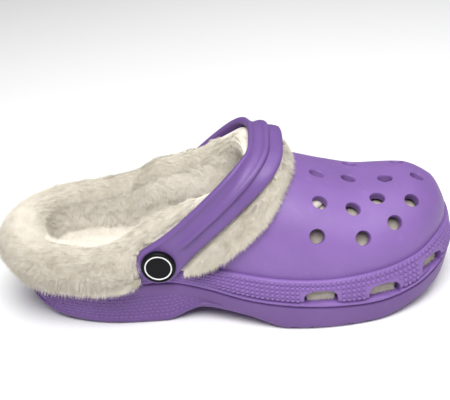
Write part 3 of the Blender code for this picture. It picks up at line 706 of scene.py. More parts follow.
def slot_shape():
    """The slot's outline as shares of its width and height."""
    shape = [(-0.47, 0.0), (0.46, 0.0), (0.495, 0.03), (0.5, 0.09), (0.5, SLOT_SHOULDER)]
    for a in np.linspace(0.12, math.pi - 0.12, 14):
        side = math.copysign(abs(math.cos(a)) ** 0.72, math.cos(a))
        shape.append((0.5 * side, SLOT_SHOULDER + (1 - SLOT_SHOULDER) * math.sin(a) ** 0.72))
    return shape + [(-0.5, SLOT_SHOULDER), (-0.5, 0.09), (-0.495, 0.03)]


def slot_blocks(reaches):
    shape = slot_shape()
    points, faces = [], []
    for turn in SLOTS:
        centre, inward, across = slot_frame(turn)
        middle = centre + np.array([0, 0, SLOT_HEIGHT * 0.45])
        faces += tube_faces(len(reaches), len(shape), base=len(points))
        for reach, grow in reaches:
            for a, b in shape:
                spot = centre + inward * reach + across * a * SLOT_WIDTH
                spot = spot + np.array([0, 0, b * SLOT_HEIGHT])
                points.append(middle + inward * reach + (spot - middle - inward * reach) * grow)
    return points, faces


cut(sole, cutting_tool("slot_tools", *slot_blocks(SLOT_MOUTH)))
print("sole after the slots", len(sole.data.polygons))

# %% [markdown]
# The underside has deep cross channels and finer grooves between them for grip. Both
# are cut as plain bars; the fine ones stop short of the edge. The faces below the side
# groove get a darker copy of the foam finish, as painted shade on the lower sides.

# %% Sole: channels across the tread
CHANNELS = [0.175, 0.225, 0.625, 0.665, 0.745, 0.785]
GROOVES = [
    0.145, 0.160, 0.192, 0.208, 0.245, 0.262, 0.280, 0.300,
    0.590, 0.608, 0.645, 0.685, 0.705, 0.725, 0.765, 0.805,
]
CHANNEL_SIZE, CHANNEL_SPAN = 0.004, BALL_WIDTH * 1.4
GROOVE_WIDTH, GROOVE_DEPTH, GROOVE_STOP = 0.0013, 0.0016, 0.011
BOX_FACES = [(0, 3, 2, 1), (4, 5, 6, 7), (0, 1, 5, 4), (1, 2, 6, 5), (2, 3, 7, 6), (3, 0, 4, 7)]
BOX_CORNERS = [(-1, -1), (1, -1), (1, 1), (-1, 1)]


def box_points(centre, size):
    x, y, z = (v / 2 for v in size)
    corners = [(a * x, b * y, c * z) for c in (-1, 1) for a, b in BOX_CORNERS]
    return [tuple(np.add(centre, corner)) for corner in corners]


bars = [((share * LENGTH, 0, 0), (CHANNEL_SIZE, CHANNEL_SPAN, CHANNEL_SIZE)) for share in CHANNELS]
tread_sides = side_lines(GROOVE_STOP, 400)
for share in GROOVES:
    low, high = [float(across_at(line, share * LENGTH)) for line in tread_sides]
    bars.append(((share * LENGTH, (low + high) / 2, 0), (GROOVE_WIDTH, high - low, GROOVE_DEPTH)))
points, faces = [], []
for centre, size in bars:
    faces += [tuple(len(points) + v for v in f) for f in BOX_FACES]
    points += box_points(centre, size)
cut(sole, cutting_tool("channel_tools", points, faces))
sole.data.shade_smooth()
sole.data.set_sharp_from_angle(angle=math.radians(38))
# Painted shade: faces below the groove take the darker foam copy, for sides turned from the light.
sole.data.materials.append(shaded_lower_foam)
for face in sole.data.polygons:
    if face.center.z < float(groove_height((face.center.x - SHIFT[0]) / LENGTH)) - 0.0004:
        face.material_index = 1
print("sole after the channels", len(sole.data.polygons))

# %% [markdown]
# The upper is a thin dome. It is skinned outside and inside, joined at the collar
# edge, and the vents are cut square to it with tools that flare at the surface, which
# leaves the small rounded lip that a mould gives.

# %% Upper: dome and vents
VENT_DIAMETER, VENT_SIDES = 0.0089, 40
# Height over the surface, and size there.
VENT_PROFILE = [
    (-0.0085, 0.93), (-0.0014, 0.93), (-0.0009, 0.95), (-0.0004, 0.99), (0.0, 1.06),
    (0.0005, 1.18), (0.0030, 1.20),
]
FOOT_OVERLAP = 0.0004
VENTS = [
    (0.683, -0.425), (0.780, -0.400), (0.850, -0.322), (0.893, -0.200), (0.918, 0.017),
    (0.884, 0.208), (0.774, 0.182), (0.694, -0.290), (0.764, -0.285), (0.819, -0.200),
    (0.845, -0.018), (0.764, -0.030), (0.694, -0.055), (0.690, 0.385), (0.776, 0.395),
    (0.852, 0.320),
]


def make_upper():
    outside = Wall(BAND_LEDGE, TURNS)
    inside = Wall(UPPER_INSIDE, TURNS)
    foot = np.array([0, 0, FOOT_OVERLAP])
    rings = [outside.points(0.0) - foot]
    rings += [outside.points(level) for level in np.linspace(0.04, 1.0, 60)]
    rings += [inside.points(level) for level in np.linspace(1.0, 0.0, 36)]
    rings[-1] = rings[-1] - foot
    faces = tube_faces(len(rings), AROUND, closed=True)
    return face_out(add_piece("clog_upper", np.concatenate(rings), faces, body_foam, "foam", ["clog_body"]))


def vent_tools():
    height = dome(BAND_LEDGE)
    radius, step = VENT_DIAMETER / 2, 0.001
    points, faces = [], []
    for share_x, share_y in VENTS:
        x, y = share_x * LENGTH, share_y * BALL_WIDTH
        slope_x = (height(x + step, y) - height(x - step, y)) / (2 * step)
        slope_y = (height(x, y + step) - height(x, y - step)) / (2 * step)
        axis = np.array([-float(slope_x), -float(slope_y), 1.0])
        axis /= np.linalg.norm(axis)
        first = np.cross(axis, [0.0, 1.0, 0.0])
        first /= np.linalg.norm(first)
        second = np.cross(axis, first)
        centre = np.array([x, y, float(height(x, y))])
        faces += tube_faces(len(VENT_PROFILE), VENT_SIDES, base=len(points))
        for depth, grow in VENT_PROFILE:
            for k in range(VENT_SIDES):
                a = 2 * math.pi * k / VENT_SIDES
                spoke = (first * math.cos(a) + second * math.sin(a)) * radius * grow
                points.append(centre + axis * depth + spoke)
    return points, faces


upper = make_upper()
cut(upper, cutting_tool("vent_tools", *vent_tools()))
upper.data.shade_smooth()
upper.data.set_sharp_from_angle(angle=math.radians(40))
print("upper after the vents", len(upper.data.polygons))

# %% [markdown]
# The side band carries a grid of small raised squares, five rows high. Each has
# rounded corners and a domed top, and they are joined into one mesh. None is set on a
# slot, and they flatten out toward the toe.

# %% Band grid
GRID_ROWS, GRID_PITCH, GRID_ENDS = 5, 0.00290, (0.165, 0.835)
GRID_REACH, ROW_START = 1.2, 0.45
STUD_WIDTH, STUD_HEIGHT, STUD_SHARE = 0.00232, 0.00085, 0.80
SLOT_SPARE, SLOT_FOOT_SPARE = 0.0010, 0.0015
STUD_LEVELS = [(-0.5, 1.0), (0.25, 0.96), (0.75, 0.76), (1.0, 0.36)]
STUD_CORNERS = [
    (-1, -0.55), (-0.55, -1), (0.55, -1), (1, -0.55), (1, 0.55), (0.55, 1), (-0.55, 1),
    (-1, 0.55),
]


def band_at(turn, share):
    plan = outline([turn], band_inset(share) + toe_lean(turn) * share)[0]
    return np.array([*plan, float(mixed(bead_top, shoulder_foot, share)(plan[0] / LENGTH))])


def side_ways(at, turn, share, step):
    """Along, up and outward directions on a side face that at() describes."""
    along_way = at(turn + step, share) - at(turn - step, share)
    up_way = at(turn, share + 0.03) - at(turn, share - 0.03)
    along_way /= np.linalg.norm(along_way)
    up_way /= np.linalg.norm(up_way)
    return along_way, up_way, np.cross(along_way, up_way)


def even_turns(low, high, pitch):
    fine = np.linspace(low, high, 3000)
    line = outline(fine, 0.0)
    length = np.concatenate([[0], np.cumsum(np.linalg.norm(np.diff(line, axis=0), axis=1))])
    return np.interp(np.arange(0, length[-1], pitch), length, fine)


def add_stud(points, faces, spot, ways, size, height):
    along_way, up_way, out = ways
    wide, tall = size
    faces += tube_faces(len(STUD_LEVELS), len(STUD_CORNERS), base=len(points))
    for level, grow in STUD_LEVELS:
        for a, b in STUD_CORNERS:
            spread = along_way * a * wide / 2 + up_way * b * tall / 2
            points.append(spot + out * (height * level) + spread * grow)


def on_slot(spot, seats):
    for centre, inward, across in seats:
        gap = spot - centre
        beside = abs(np.dot(gap, across)) < SLOT_WIDTH / 2 + SLOT_SPARE
        beside = beside and abs(np.dot(gap, inward)) < 0.01
        if beside and -SLOT_FOOT_SPARE < gap[2] < SLOT_HEIGHT + SLOT_SPARE:
            return True
    return False


def make_grid():
    points, faces = [], []
    seats = [slot_frame(turn) for turn in SLOTS]
    for turn in even_turns(*GRID_ENDS, GRID_PITCH):
        toe = max(0.0, 1 - abs(turn - 0.5) / 0.10)
        rise = band_at(turn, 1.0)[2] - band_at(turn, 0.0)[2]
        size = (STUD_WIDTH, STUD_SHARE * rise * GRID_REACH / GRID_ROWS)
        for row in range(GRID_ROWS):
            share = (row + ROW_START) / GRID_ROWS * GRID_REACH
            spot = band_at(turn, share)
            if on_slot(spot, seats):
                continue
            along_way, up_way, out = side_ways(band_at, turn, share, 0.0008)
            out /= np.linalg.norm(out)
            add_stud(points, faces, spot, (along_way, up_way, out), size, STUD_HEIGHT * (1 - 0.5 * toe))
    return add_piece("band_grid", points, faces, body_foam, "foam", ["clog_body"])


grid = make_grid()
print("band studs", len(grid.data.vertices) // (len(STUD_LEVELS) * len(STUD_CORNERS)))

# %% [markdown]
# Low on each side of the heel a panel carries rows of short dashes, every other row
# shifted. They are made like the band's studs, only flatter, and stay below the crease.

# %% Heel dashes
HEEL_PANELS = [(0.045, 0.205), (0.795, 0.955)]
DASH_ROWS, DASH_PITCH, DASH_SIZE, DASH_HEIGHT = 8, 0.0031, (0.0020, 0.0009), 0.00045
FIRST_ROW, ROW_STEP, ROW_SHIFT = 0.06, 0.115, 0.0009 / 0.70


def heel_at(turn, share):
    plan = outline([turn], panel_inset(share, 1.0))[0]
    return np.array([*plan, float(mixed(edge_top, groove_low, share)(plan[0] / LENGTH))])


def make_dashes():
    points, faces = [], []
    for low, high in HEEL_PANELS:
        for turn in even_turns(low, high, DASH_PITCH):
            x = float(outline([turn], 0.0)[0, 0]) / LENGTH
            for row in range(DASH_ROWS):
                share = FIRST_ROW + row * ROW_STEP
                if share > float(crease_level(x)) - 0.05 or x < 0.05:
                    continue
                place = turn + ROW_SHIFT * (row % 2)
                ways = side_ways(heel_at, place, share, 0.001)
                add_stud(points, faces, heel_at(place, share), ways, DASH_SIZE, DASH_HEIGHT)
    return add_piece("heel_dashes", points, faces, body_foam, "foam", ["clog_body"], smooth=False)


face_out(make_dashes())

# %% [markdown]
# The strap is a moulded band swept over the instep. Its section has a low lip along
# the rear edge, a raised rib with a soft rear side and a crisp front step, and a plain
# front flank. Sweeping one section along the arch keeps the rib in line with the edge.

# %% Strap: path and section
STRAP_WIDTH, STRAP_END, STRAP_REACH = 0.0205, 0.0262, 0.0868
STRAP_PITCH, STRAP_FLARE, STRAP_POWER = math.radians(40.8), math.radians(39.0), 3.5
STRAP_WAIST, END_MARKS, TURN_EASE = 0.06, 22, 0.55
RIB_START, RIB_EASE, EDGE_SHARE = 0.0185, 0.0012, 0.15

# Share across from the upper edge, and height over the plain face.
STRAP_FACE = [
    (0.0, -0.0016), (0.012, -0.0008), (0.035, -0.0001), (0.07, 0.0003), (0.11, 0.0000),
    (0.16, -0.0006), (0.25, -0.0009), (0.35, -0.0008), (0.41, -0.0002), (0.45, 0.0006),
    (0.49, 0.0011), (0.55, 0.0012), (0.585, 0.0008), (0.60, 0.0000), (0.615, -0.0009),
    (0.65, -0.0009), (0.78, -0.0006), (0.90, -0.0007), (0.96, -0.0010), (0.988, -0.0018),
    (1.0, -0.0026),
]
STRAP_UNDER = [
    (0.995, -0.0036), (0.97, -0.0043), (0.90, -0.0045), (0.5, -0.0045), (0.10, -0.0045),
    (0.03, -0.0043), (0.005, -0.0036),
]


def strap_marks(steps):
    """Place across, way up the slope and angle, from one round end to the other."""
    middle = (strap_out["medial"] - strap_out["lateral"]) / 2
    half = (strap_out["medial"] + strap_out["lateral"]) / 2
    ends = [-math.cos(a) * STRAP_END / 2 for a in np.linspace(0.04, math.pi / 2, END_MARKS)]
    marks = [(middle - half, way, 0.0) for way in ends]
    shares = np.linspace(0, 1, steps)
    thetas = math.pi * (shares - np.sin(2 * math.pi * shares) / (2 * math.pi) * TURN_EASE)
    for theta in thetas[1:-1]:
        side = math.copysign(abs(math.cos(theta)) ** (2 / STRAP_POWER), math.cos(theta))
        way = math.sin(theta) ** (2 / STRAP_POWER) * STRAP_REACH
        marks.append((middle - half * side, way, theta))
    return marks + [(middle + half, way, math.pi) for way in ends[::-1]]


def strap_frames(steps):
    marks = strap_marks(steps)
    slope = np.array([math.cos(STRAP_PITCH), 0.0, math.sin(STRAP_PITCH)])
    start = np.array([PIVOT[0], 0.0, PIVOT[2]])
    centres = np.array([start + [0, y, 0] + slope * way for y, way, _ in marks])
    tangents = np.gradient(centres, axis=0)
    tangents /= np.linalg.norm(tangents, axis=1)[:, None]
    rows = []
    for centre, tangent, (_, way, theta) in zip(centres, tangents, marks):
        lean = STRAP_PITCH + STRAP_FLARE * math.sin(theta) ** 2
        across = np.array([-math.sin(lean), 0.0, math.cos(lean)])
        across = across - tangent * across.dot(tangent)
        across /= np.linalg.norm(across)
        rows.append((centre, across, np.cross(tangent, across), way))
    return rows


def strap_span(way):
    if way < 0:
        return 2 * math.sqrt(max((STRAP_END / 2) ** 2 - way ** 2, 0.0))
    ease = min(way / STRAP_END, 1.0)
    waist = math.sin(math.pi * ease) * STRAP_WAIST * STRAP_WIDTH
    return STRAP_END + (STRAP_WIDTH - STRAP_END) * ease - waist


# %% Strap: sweep
def make_strap():
    rings = []
    for centre, across, out, way in strap_frames(170):
        span = strap_span(way)
        rise = 1 / (1 + math.exp(-(way - RIB_START) / RIB_EASE))
        for share, level in STRAP_FACE:
            if EDGE_SHARE <= share <= 1 - EDGE_SHARE:
                level = level * rise - 0.0004 * (1 - rise)
            rings.append(centre + across * (0.5 - share) * span + out * level)
        for share, level in STRAP_UNDER:
            rings.append(centre + across * (0.5 - share) * span + out * level)
    count = len(STRAP_FACE) + len(STRAP_UNDER)
    faces = tube_faces(len(rings) // count, count)
    # Painted shade: the strap takes the darker foam copy.
    return face_out(add_piece("heel_strap_band", rings, faces, strap_foam, "strap_foam", ["heel_strap"]))


strap = make_strap()
strap.data.set_sharp_from_angle(angle=math.radians(60))

# %% [markdown]
# Each rivet is a turned cap with a low rim, a recessed face and a thin white ring set
# in it. The face stays bare. Profiles are spun about the rivet's axis.

# %% Rivets
SPIN_SIDES = 72
CAP_SEAT = 0.0004
# Radius, and height over the seat.
CAP = [
    (0.0004, 0.0026), (0.0060, 0.0026), (0.0080, 0.0026), (0.0083, 0.0027), (0.0085, 0.0030),
    (0.0089, 0.0031), (0.0094, 0.0030), (0.0098, 0.0026), (0.0100, 0.0020), (0.0100, 0.0004),
    (0.0099, 0.0), (0.0040, 0.0), (0.0040, -0.0137), (0.0004, -0.0137),
]
RING = [
    (0.0072, 0.0024), (0.0072, 0.00285), (0.0074, 0.0030), (0.0077, 0.0030), (0.0079, 0.00285),
    (0.0079, 0.0024),
]
WASHER = [
    (0.0043, 0.0), (0.0043, 0.0020), (0.0070, 0.0020), (0.0075, 0.0015), (0.0075, 0.0004),
    (0.0071, 0.0),
]
BOSS = [(0.0044, -0.0050), (0.0044, 0.0008), (0.0105, 0.0008), (0.0110, 0.0003), (0.0110, -0.0050)]


def spin(name, profile, seat, finish, slot, nodes_replaced, closed=True):
    sign, offset = seat
    points = []
    for radius, level in profile:
        for k in range(SPIN_SIDES):
            a = 2 * math.pi * k / SPIN_SIDES
            x, z = PIVOT[0] + radius * math.cos(a), PIVOT[2] + radius * math.sin(a)
            points.append((x, sign * (offset + level), z))
    faces = tube_faces(len(profile), SPIN_SIDES, closed=closed)
    piece = face_out(add_piece(name, points, faces, finish, slot, nodes_replaced))
    piece.data.set_sharp_from_angle(angle=math.radians(50))


for name, (sign, reach) in sides.items():
    seat = (sign, strap_out[name] - CAP_SEAT)
    button = ["rivet_button_" + name]
    spin("rivet_cap_" + name, CAP, seat, rivet_black, "rivet_black", button, closed=False)
    spin("rivet_ring_" + name, RING, seat, rivet_white, "rivet_black", button)
    inside = (sign, reach - BAND_LEDGE - WALL)
    spin("washer_" + name, WASHER, inside, washer_grey, "washer", ["rivet_washer_" + name])
    spin("rivet_boss_" + name, BOSS, (sign, reach), body_foam, "foam", ["clog_body"])

# %% [markdown]
# The lining is a sock of backing cloth with pile on it. The backing is skinned round
# the opening: up inside the foam, over its edge, down outside as a lip, out into the
# fat cuff and back inside. Where the strap lies on it the cuff is pressed in.

# %% Lining: section round the opening
# From 0 at the throat to 1 at the heel: the drop of the lip down the wall, then way out
# and height over the foam edge of four marks round the roll, as shares of the cuff.
CUFF_SECTION = [
    (0.00, 0.25, -0.08, 0.33, -0.58, 0.60, -1.12, 0.81, -1.38, 0.54),
    (0.30, 0.38, 0.08, 0.25, -0.33, 0.67, -0.75, 0.88, -1.04, 0.58),
    (0.42, 0.54, 0.15, 0.12, -0.08, 0.70, -0.42, 1.00, -0.71, 0.67),
    (0.52, 0.67, 0.21, -0.08, 0.04, 0.58, -0.25, 1.00, -0.54, 0.67),
    (0.62, 0.83, 0.33, -0.25, 0.21, 0.42, -0.12, 0.79, -0.46, 0.50),
    (0.72, 0.90, 0.50, -0.32, 0.33, 0.31, -0.08, 0.66, -0.42, 0.40),
    (0.85, 0.98, 0.58, -0.32, 0.38, 0.27, -0.08, 0.52, -0.46, 0.30),
    (1.00, 1.00, 0.67, -0.30, 0.42, 0.23, -0.08, 0.44, -0.46, 0.24),
]
CUFF_SAG = [
    (0.00, 0.00), (0.54, 0.00), (0.60, 0.14), (0.66, 0.36), (0.74, 0.50), (0.86, 0.40),
    (0.95, 0.16), (1.00, 0.00),
]
LINING_REACH = [(0.00, 0.13), (0.30, 0.18), (0.42, 0.30), (0.52, 0.70), (0.60, 1.00), (1.00, 1.00)]
LIP_SPAN = [(0.00, 0.0), (0.42, 0.0), (0.54, 1.0), (1.00, 1.0)]
# How much further down the lip reaches, in metres.
LIP_LOWER = [
    (0.000, -0.0043), (0.250, -0.0066), (0.344, -0.0083), (0.406, -0.0080), (0.440, -0.0068),
    (0.500, -0.0046), (0.560, -0.0006), (0.590, 0.0014), (0.615, 0.0034), (0.660, -0.0006),
    (1.000, -0.0034),
]
SAG_SHARES = (0.0, 0.6, 1.0, 0.8)
LINING_PLAY, LIP_PLAY, LIP_THICKNESS, PILE_ROOM = 0.0006, 0.0004, 0.0026, 0.0024
WALL_STEPS = 25
CUFF_STEPS = 6
LINING_TURNS = np.arange(256) / 256
FROM_THROAT = 2 * np.abs(LINING_TURNS - 0.5)


def lining_row(wall, inset, share):
    level = np.clip(1 - share / 0.7, 0, 1)
    row = wall.points(level)
    plan = outline(LINING_TURNS, inset)
    bottom = footbed_height(plan[:, 0] / LENGTH) + FLEECE + LINING_PLAY
    down = np.clip((share - 0.7) / 0.3, 0, 1)
    row[:, 2] = row[:, 2] * (1 - down) + bottom * down
    return row


def outer_lines(wall):
    """Lines down the outside from the foam edge, over the band to the side groove."""
    plan = outline(LINING_TURNS, -LIP_PLAY)
    share = plan[:, 0] / LENGTH
    shoulder = np.column_stack([plan, band_height(share) + LIP_PLAY])
    top = wall.points(1.0)
    span = smooth_curve(LIP_SPAN, 1, 1.0)(FROM_THROAT)[:, None]
    rows = []
    for level in np.linspace(1.0, 0.0, WALL_STEPS):
        row = wall.points(level)
        part = (top[:, 2:] - row[:, 2:]) / (top[:, 2:] - shoulder[:, 2:])
        straight = top + (shoulder - top) * np.clip(part, 0, 1)
        rows.append(row * (1 - span) + straight * span)
    rows += [shoulder, np.column_stack([plan, groove_height(share)])]
    return np.array(rows)


def walk(line, distance):
    """The place at a distance along a line, and the line's direction there."""
    steps = np.linalg.norm(np.diff(line, axis=0), axis=1)
    marks = np.concatenate([[0.0], np.cumsum(steps)])
    distance = min(distance, marks[-1] * 0.999)
    i = int(np.searchsorted(marks, distance, side="right") - 1)
    share = (distance - marks[i]) / steps[i]
    return line[i] * (1 - share) + line[i + 1] * share, (line[i + 1] - line[i]) / steps[i]


# %% Lining: rings of the backing
def lip_rings(lines, drops, away):
    """The lip's rings down the wall, then the foot of its outer face."""
    rings = [[], [], [], [], []]
    for i, drop in enumerate(drops):
        line = lines[:, i]
        corner = np.sum(np.linalg.norm(np.diff(line[:WALL_STEPS + 1], axis=0), axis=1))
        stop = corner if drop > corner + 0.002 else drop * 0.55
        foot, way = walk(line, drop)
        out = np.array([away[i, 0] * -way[2], away[i, 1] * -way[2], np.dot(way[:2], away[i])])
        marks = [walk(line, distance)[0] for distance in (stop * 0.5, stop, (stop + drop) / 2)]
        marks += [foot, foot + out / np.linalg.norm(out) * LIP_THICKNESS]
        for ring, mark in zip(rings, marks):
            ring.append(mark)
    return [np.array(ring) for ring in rings]


def lining_rings():
    reach = smooth_curve(LINING_REACH, 1, 1.0)(FROM_THROAT)
    columns = [smooth_curve(CUFF_SECTION, k, CUFF)(FROM_THROAT) for k in range(1, 10)]
    lower = smooth_curve(LIP_LOWER, 1, 1.0)(FROM_THROAT)
    sag = smooth_curve(CUFF_SAG, 1, CUFF)(FROM_THROAT) * (LINING_TURNS < 0.5)
    outer_inset = UPPER_INSIDE + LINING_PLAY
    inner_inset = outer_inset + FLEECE - PILE_ROOM
    outer = Wall(outer_inset, LINING_TURNS)
    inner = Wall(inner_inset, LINING_TURNS)
    over_in = Wall(outer_inset, LINING_TURNS, LINING_PLAY)
    over_out = Wall(BAND_LEDGE - LIP_PLAY, LINING_TURNS, LINING_PLAY)
    top = over_out.points(1.0)
    away = -over_out.way / np.linalg.norm(over_out.way, axis=1)[:, None]
    lip = lip_rings(outer_lines(over_out), columns[0] + lower, away)
    hidden = [lining_row(outer, outer_inset, reach * k) for k in np.linspace(1.0, 0.1, 7)]
    hidden += [over_in.points(1.0), top] + lip[:4]
    marks = [lip[4]]
    scale = 1 - PILE_ROOM / CUFF * 2.0
    for k, part in zip((1, 3, 5, 7), SAG_SHARES):
        plan = top[:, :2] + away * (columns[k] * scale)[:, None]
        lift = columns[k + 1] - sag * part - PILE_ROOM * (0.9 if k > 1 else 0.2)
        marks.append(np.column_stack([plan, top[:, 2] + lift]))
    marks += [lining_row(inner, inner_inset, reach * k) for k in (0.12, 0.4, 0.7, 1.0)]
    return hidden, marks


def through(marks, steps):
    """Smooth rings through the marks, with a few steps between each pair."""
    rows = []
    for i in range(len(marks) - 1):
        a = marks[max(i - 1, 0)]
        b, c = marks[i], marks[i + 1]
        d = marks[min(i + 2, len(marks) - 1)]
        for t in np.arange(steps) / steps:
            rows.append(0.5 * (2 * b + (c - a) * t + (2 * a - 5 * b + 4 * c - d) * t ** 2
                               + (3 * b - a - 3 * c + d) * t ** 3))
    rows.append(marks[-1])
    return rows


hidden_rings, cuff_marks = lining_rings()
cuff_rings = through(cuff_marks, CUFF_STEPS)
print("lining rings", len(hidden_rings), "+", len(cuff_rings))

# %% [markdown]
# Under the toe the sock is plain cloth, and only glimpses of it show through the vents.
# Its dark grey-brown is painted shade for the dim toe box. It is a second skin just
# inside the foam, made from the same wall.

# %% Lining: cloth inside the toe, seen through the vents
TOE_CLOTH_GAP, TOE_CLOTH_THICKNESS, TOE_CLOTH_TOP = 0.0026, 0.0012, 0.96


def make_toe_lining():
    levels = np.linspace(0.0, TOE_CLOTH_TOP, 30)
    outside = Wall(UPPER_INSIDE + TOE_CLOTH_GAP, LINING_TURNS)
    inside = Wall(UPPER_INSIDE + TOE_CLOTH_GAP + TOE_CLOTH_THICKNESS, LINING_TURNS)
    rings = [outside.points(level) for level in levels]
    rings += [inside.points(level) for level in np.linspace(TOE_CLOTH_TOP, 0.0, 30)]
    faces = tube_faces(len(rings), len(LINING_TURNS), closed=True)
    return face_out(add_piece("toe_lining", np.concatenate(rings), faces, shaded_toe_cloth, "fleece",
                              ["fleece_liner"]))


make_toe_lining()

# %% [markdown]
# The strap lies on the fat cuff and squashes it. Every point of the cuff that would be
# under or inside the strap is pushed straight in, and the push eases off to both sides.

# %% Lining: press the cuff under the strap
STRAP_ROWS = strap_frames(90)
NARROWEST, PRESS_ALONG, PRESS_HIGH, PRESS_DEEP = 0.004, 0.006, 0.03, 0.004
CUFF_EASE, CUFF_SPARE = 0.0065, 0.0010
BLOCK = 4000


def press(points, soften, spare):
    """Move points that lie under or through the strap to just beneath it."""
    centres, across, out = [np.array([row[k] for row in STRAP_ROWS]) for k in range(3)]
    spans = np.array([max(strap_span(row[3]), NARROWEST) for row in STRAP_ROWS])
    tangent = np.cross(across, out)
    limit = -(STRAP_THICKNESS + spare)
    moved = points.copy()
    inside = np.zeros(len(points))
    for low in range(0, len(points), BLOCK):
        block = points[low:low + BLOCK]
        gap = block[:, None, :] - centres[None]
        along = np.abs(np.einsum("nkc,kc->nk", gap, tangent))
        far = np.einsum("nkc,nkc->nk", gap, gap)
        k = np.argmin(far + along * along * 6, axis=1)
        rows = np.arange(len(block))
        side = np.abs(np.einsum("nc,nc->n", gap[rows, k], across[k]))
        level = np.einsum("nc,nc->n", gap[rows, k], out[k])
        near = (along[rows, k] < PRESS_ALONG) & (level < PRESS_HIGH)
        ease = np.clip((side - spans[k] / 2) / soften, 0, 1)
        ease = ease * ease * (3 - 2 * ease)
        push = np.where(near & (level > limit), (level - limit) * (1 - ease), 0)
        moved[low:low + BLOCK] = block - out[k] * push[:, None]
        inside[low:low + BLOCK] = np.where(near & (level > limit - PRESS_DEEP), 1 - ease, 0)
    return moved, inside


cuff_grid = np.array(cuff_rings)
flat, pressed = press(cuff_grid.reshape(-1, 3), CUFF_EASE, CUFF_SPARE)
cuff_grid = flat.reshape(cuff_grid.shape)
pressed = pressed.reshape(cuff_grid.shape[:2])
print("points pressed", int((pressed > 0.5).sum()))

# %% [markdown]
# The backing and the insole are cloth with a thickness, so both are closed padded
# forms. The insole is a loose pad whose edge is rounded over, and it lies on the foam.

# %% Lining: backing piece and insole
all_rings = np.concatenate([np.array(hidden_rings), cuff_grid])
lining = face_out(add_piece("lining_backing", all_rings.reshape(-1, 3),
                            tube_faces(len(all_rings), len(LINING_TURNS), closed=True),
                            pile_backing, "fleece", ["fleece_liner"]))

INSOLE_EDGE = UPPER_INSIDE + GAP
# Inset from the insole's edge, and height over the footbed.
INSOLE_PROFILE = [
    (0.004, 0.0003), (0.0018, 0.0010), (0.0, 0.0027), (0.0002, 0.0040), (0.0012, 0.0047),
    (0.0030, 0.0050),
]


def insole_ring(inset, lift):
    plan = outline(LINING_TURNS, INSOLE_EDGE + inset)
    return np.column_stack([plan, footbed_height(plan[:, 0] / LENGTH) + lift])


insole_rows = [insole_ring(inset, lift) for inset, lift in INSOLE_PROFILE]
insole = face_out(add_piece("insole_backing", np.concatenate(insole_rows),
                            wide_faces(len(insole_rows), len(LINING_TURNS)),
                            pile_backing, "fleece", ["fleece_insole"]))

# %% [markdown]
# The pile is real strands, many thousands of them in a mesh. Each is one thin triangle
# that leans the way the pile is brushed, and a slow noise gathers tips into soft
# tufts. Their shading normals follow the cloth below, so the fleece shades softly.

# %% Pile: noise and strands
LOOSE_SHARE, TUFT, ROOT_DEPTH = 0.12, 0.27, 0.0004
# Added to every strand's shading normal, so that the fleece takes light as one soft mass.
SKY_LEAN = (0, -0.12, 0.75)
SCRAMBLE = (73856093, 19349663, 83492791, 2654435)


def lattice(cells, seed):
    """A number between -1 and 1 for each cell, the same at every run."""
    bits = (cells[..., 0] * SCRAMBLE[0]) ^ (cells[..., 1] * SCRAMBLE[1]) ^ (cells[..., 2] * SCRAMBLE[2])
    bits = bits ^ (seed * SCRAMBLE[3])
    bits = (bits ^ (bits >> 13)) * 1274126177
    return ((bits ^ (bits >> 16)) & 0xFFFF) / 32767.5 - 1.0


def drift(points, size, seed):
    """Smooth three-way noise between -1 and 1."""
    place = points / size
    cell = np.floor(place).astype(np.int64)
    t = place - cell
    t = t * t * (3 - 2 * t)
    total = np.zeros_like(points)
    for dx in (0, 1):
        for dy in (0, 1):
            for dz in (0, 1):
                corner = cell + np.array([dx, dy, dz])
                weight = (t[:, 0] if dx else 1 - t[:, 0]) * (t[:, 1] if dy else 1 - t[:, 1])
                weight = weight * (t[:, 2] if dz else 1 - t[:, 2])
                for axis in range(3):
                    total[:, axis] += weight * lattice(corner, seed + axis * 17)
    return total


def unit(v):
    return v / np.maximum(np.linalg.norm(v, axis=1), 1e-9)[:, None]


def sow(grid, count, rng, wanted):
    """Scatter roots over a grid of rings; gives place, normal, both ways, row, column."""
    cols = grid.shape[1]
    a, b = grid[:-1], grid[1:]
    c, d = np.roll(a, -1, axis=1), np.roll(b, -1, axis=1)
    cross = np.cross(c - a, b - a).reshape(-1, 3)
    area = np.linalg.norm(cross, axis=1) * wanted.reshape(-1)
    pick = rng.choice(len(area), size=count, p=area / area.sum())
    u, v = rng.random(count)[:, None], rng.random(count)[:, None]
    a_at, b_at, c_at, d_at = [m.reshape(-1, 3)[pick] for m in (a, b, c, d)]
    spot = a_at * (1 - u) * (1 - v) + b_at * (1 - u) * v + c_at * u * (1 - v) + d_at * u * v
    return (spot, unit(cross[pick]), unit(b_at - a_at), unit(c_at - a_at),
            pick // cols + v[:, 0], pick % cols)


def grow(name, roots, normals, comb, length, width, rng, finish, node, lift):
    """Strands from roots: combed along the cloth, raised by lift, gathered into tufts."""
    count = len(roots)
    gather = drift(roots, 0.0060, 5) * 0.6 + drift(roots, 0.0026, 9) * 0.4
    stand = (lift * rng.uniform(0.6, 1.4, count))[:, None]
    loose = rng.random(count) < LOOSE_SHARE
    stand[loose] *= 1.8
    length = length * np.where(loose, 1.15, 1.0)
    way = normals * stand + comb * (1 - stand * 0.4) + gather * TUFT
    way = unit(way + rng.normal(0, 0.10, (count, 3)))
    side = unit(np.cross(way, normals)) + rng.normal(0, 0.2, (count, 3))
    side = unit(side) * (width * 0.5)[:, None]
    base = roots - normals * ROOT_DEPTH
    points = np.stack([base - side, base + side, roots + way * length[:, None]], axis=1)
    soft = normals + np.array(SKY_LEAN) + gather * 0.10
    soft = unit(soft + rng.normal(0, 0.05, (count, 3)))
    return add_pile(name, points + SHIFT, soft, finish, node)


# %% [markdown]
# A mesh of many thousand loose triangles is filled with whole arrays, because adding
# them one by one would take minutes. Each strand gets its own small place in the UV map.

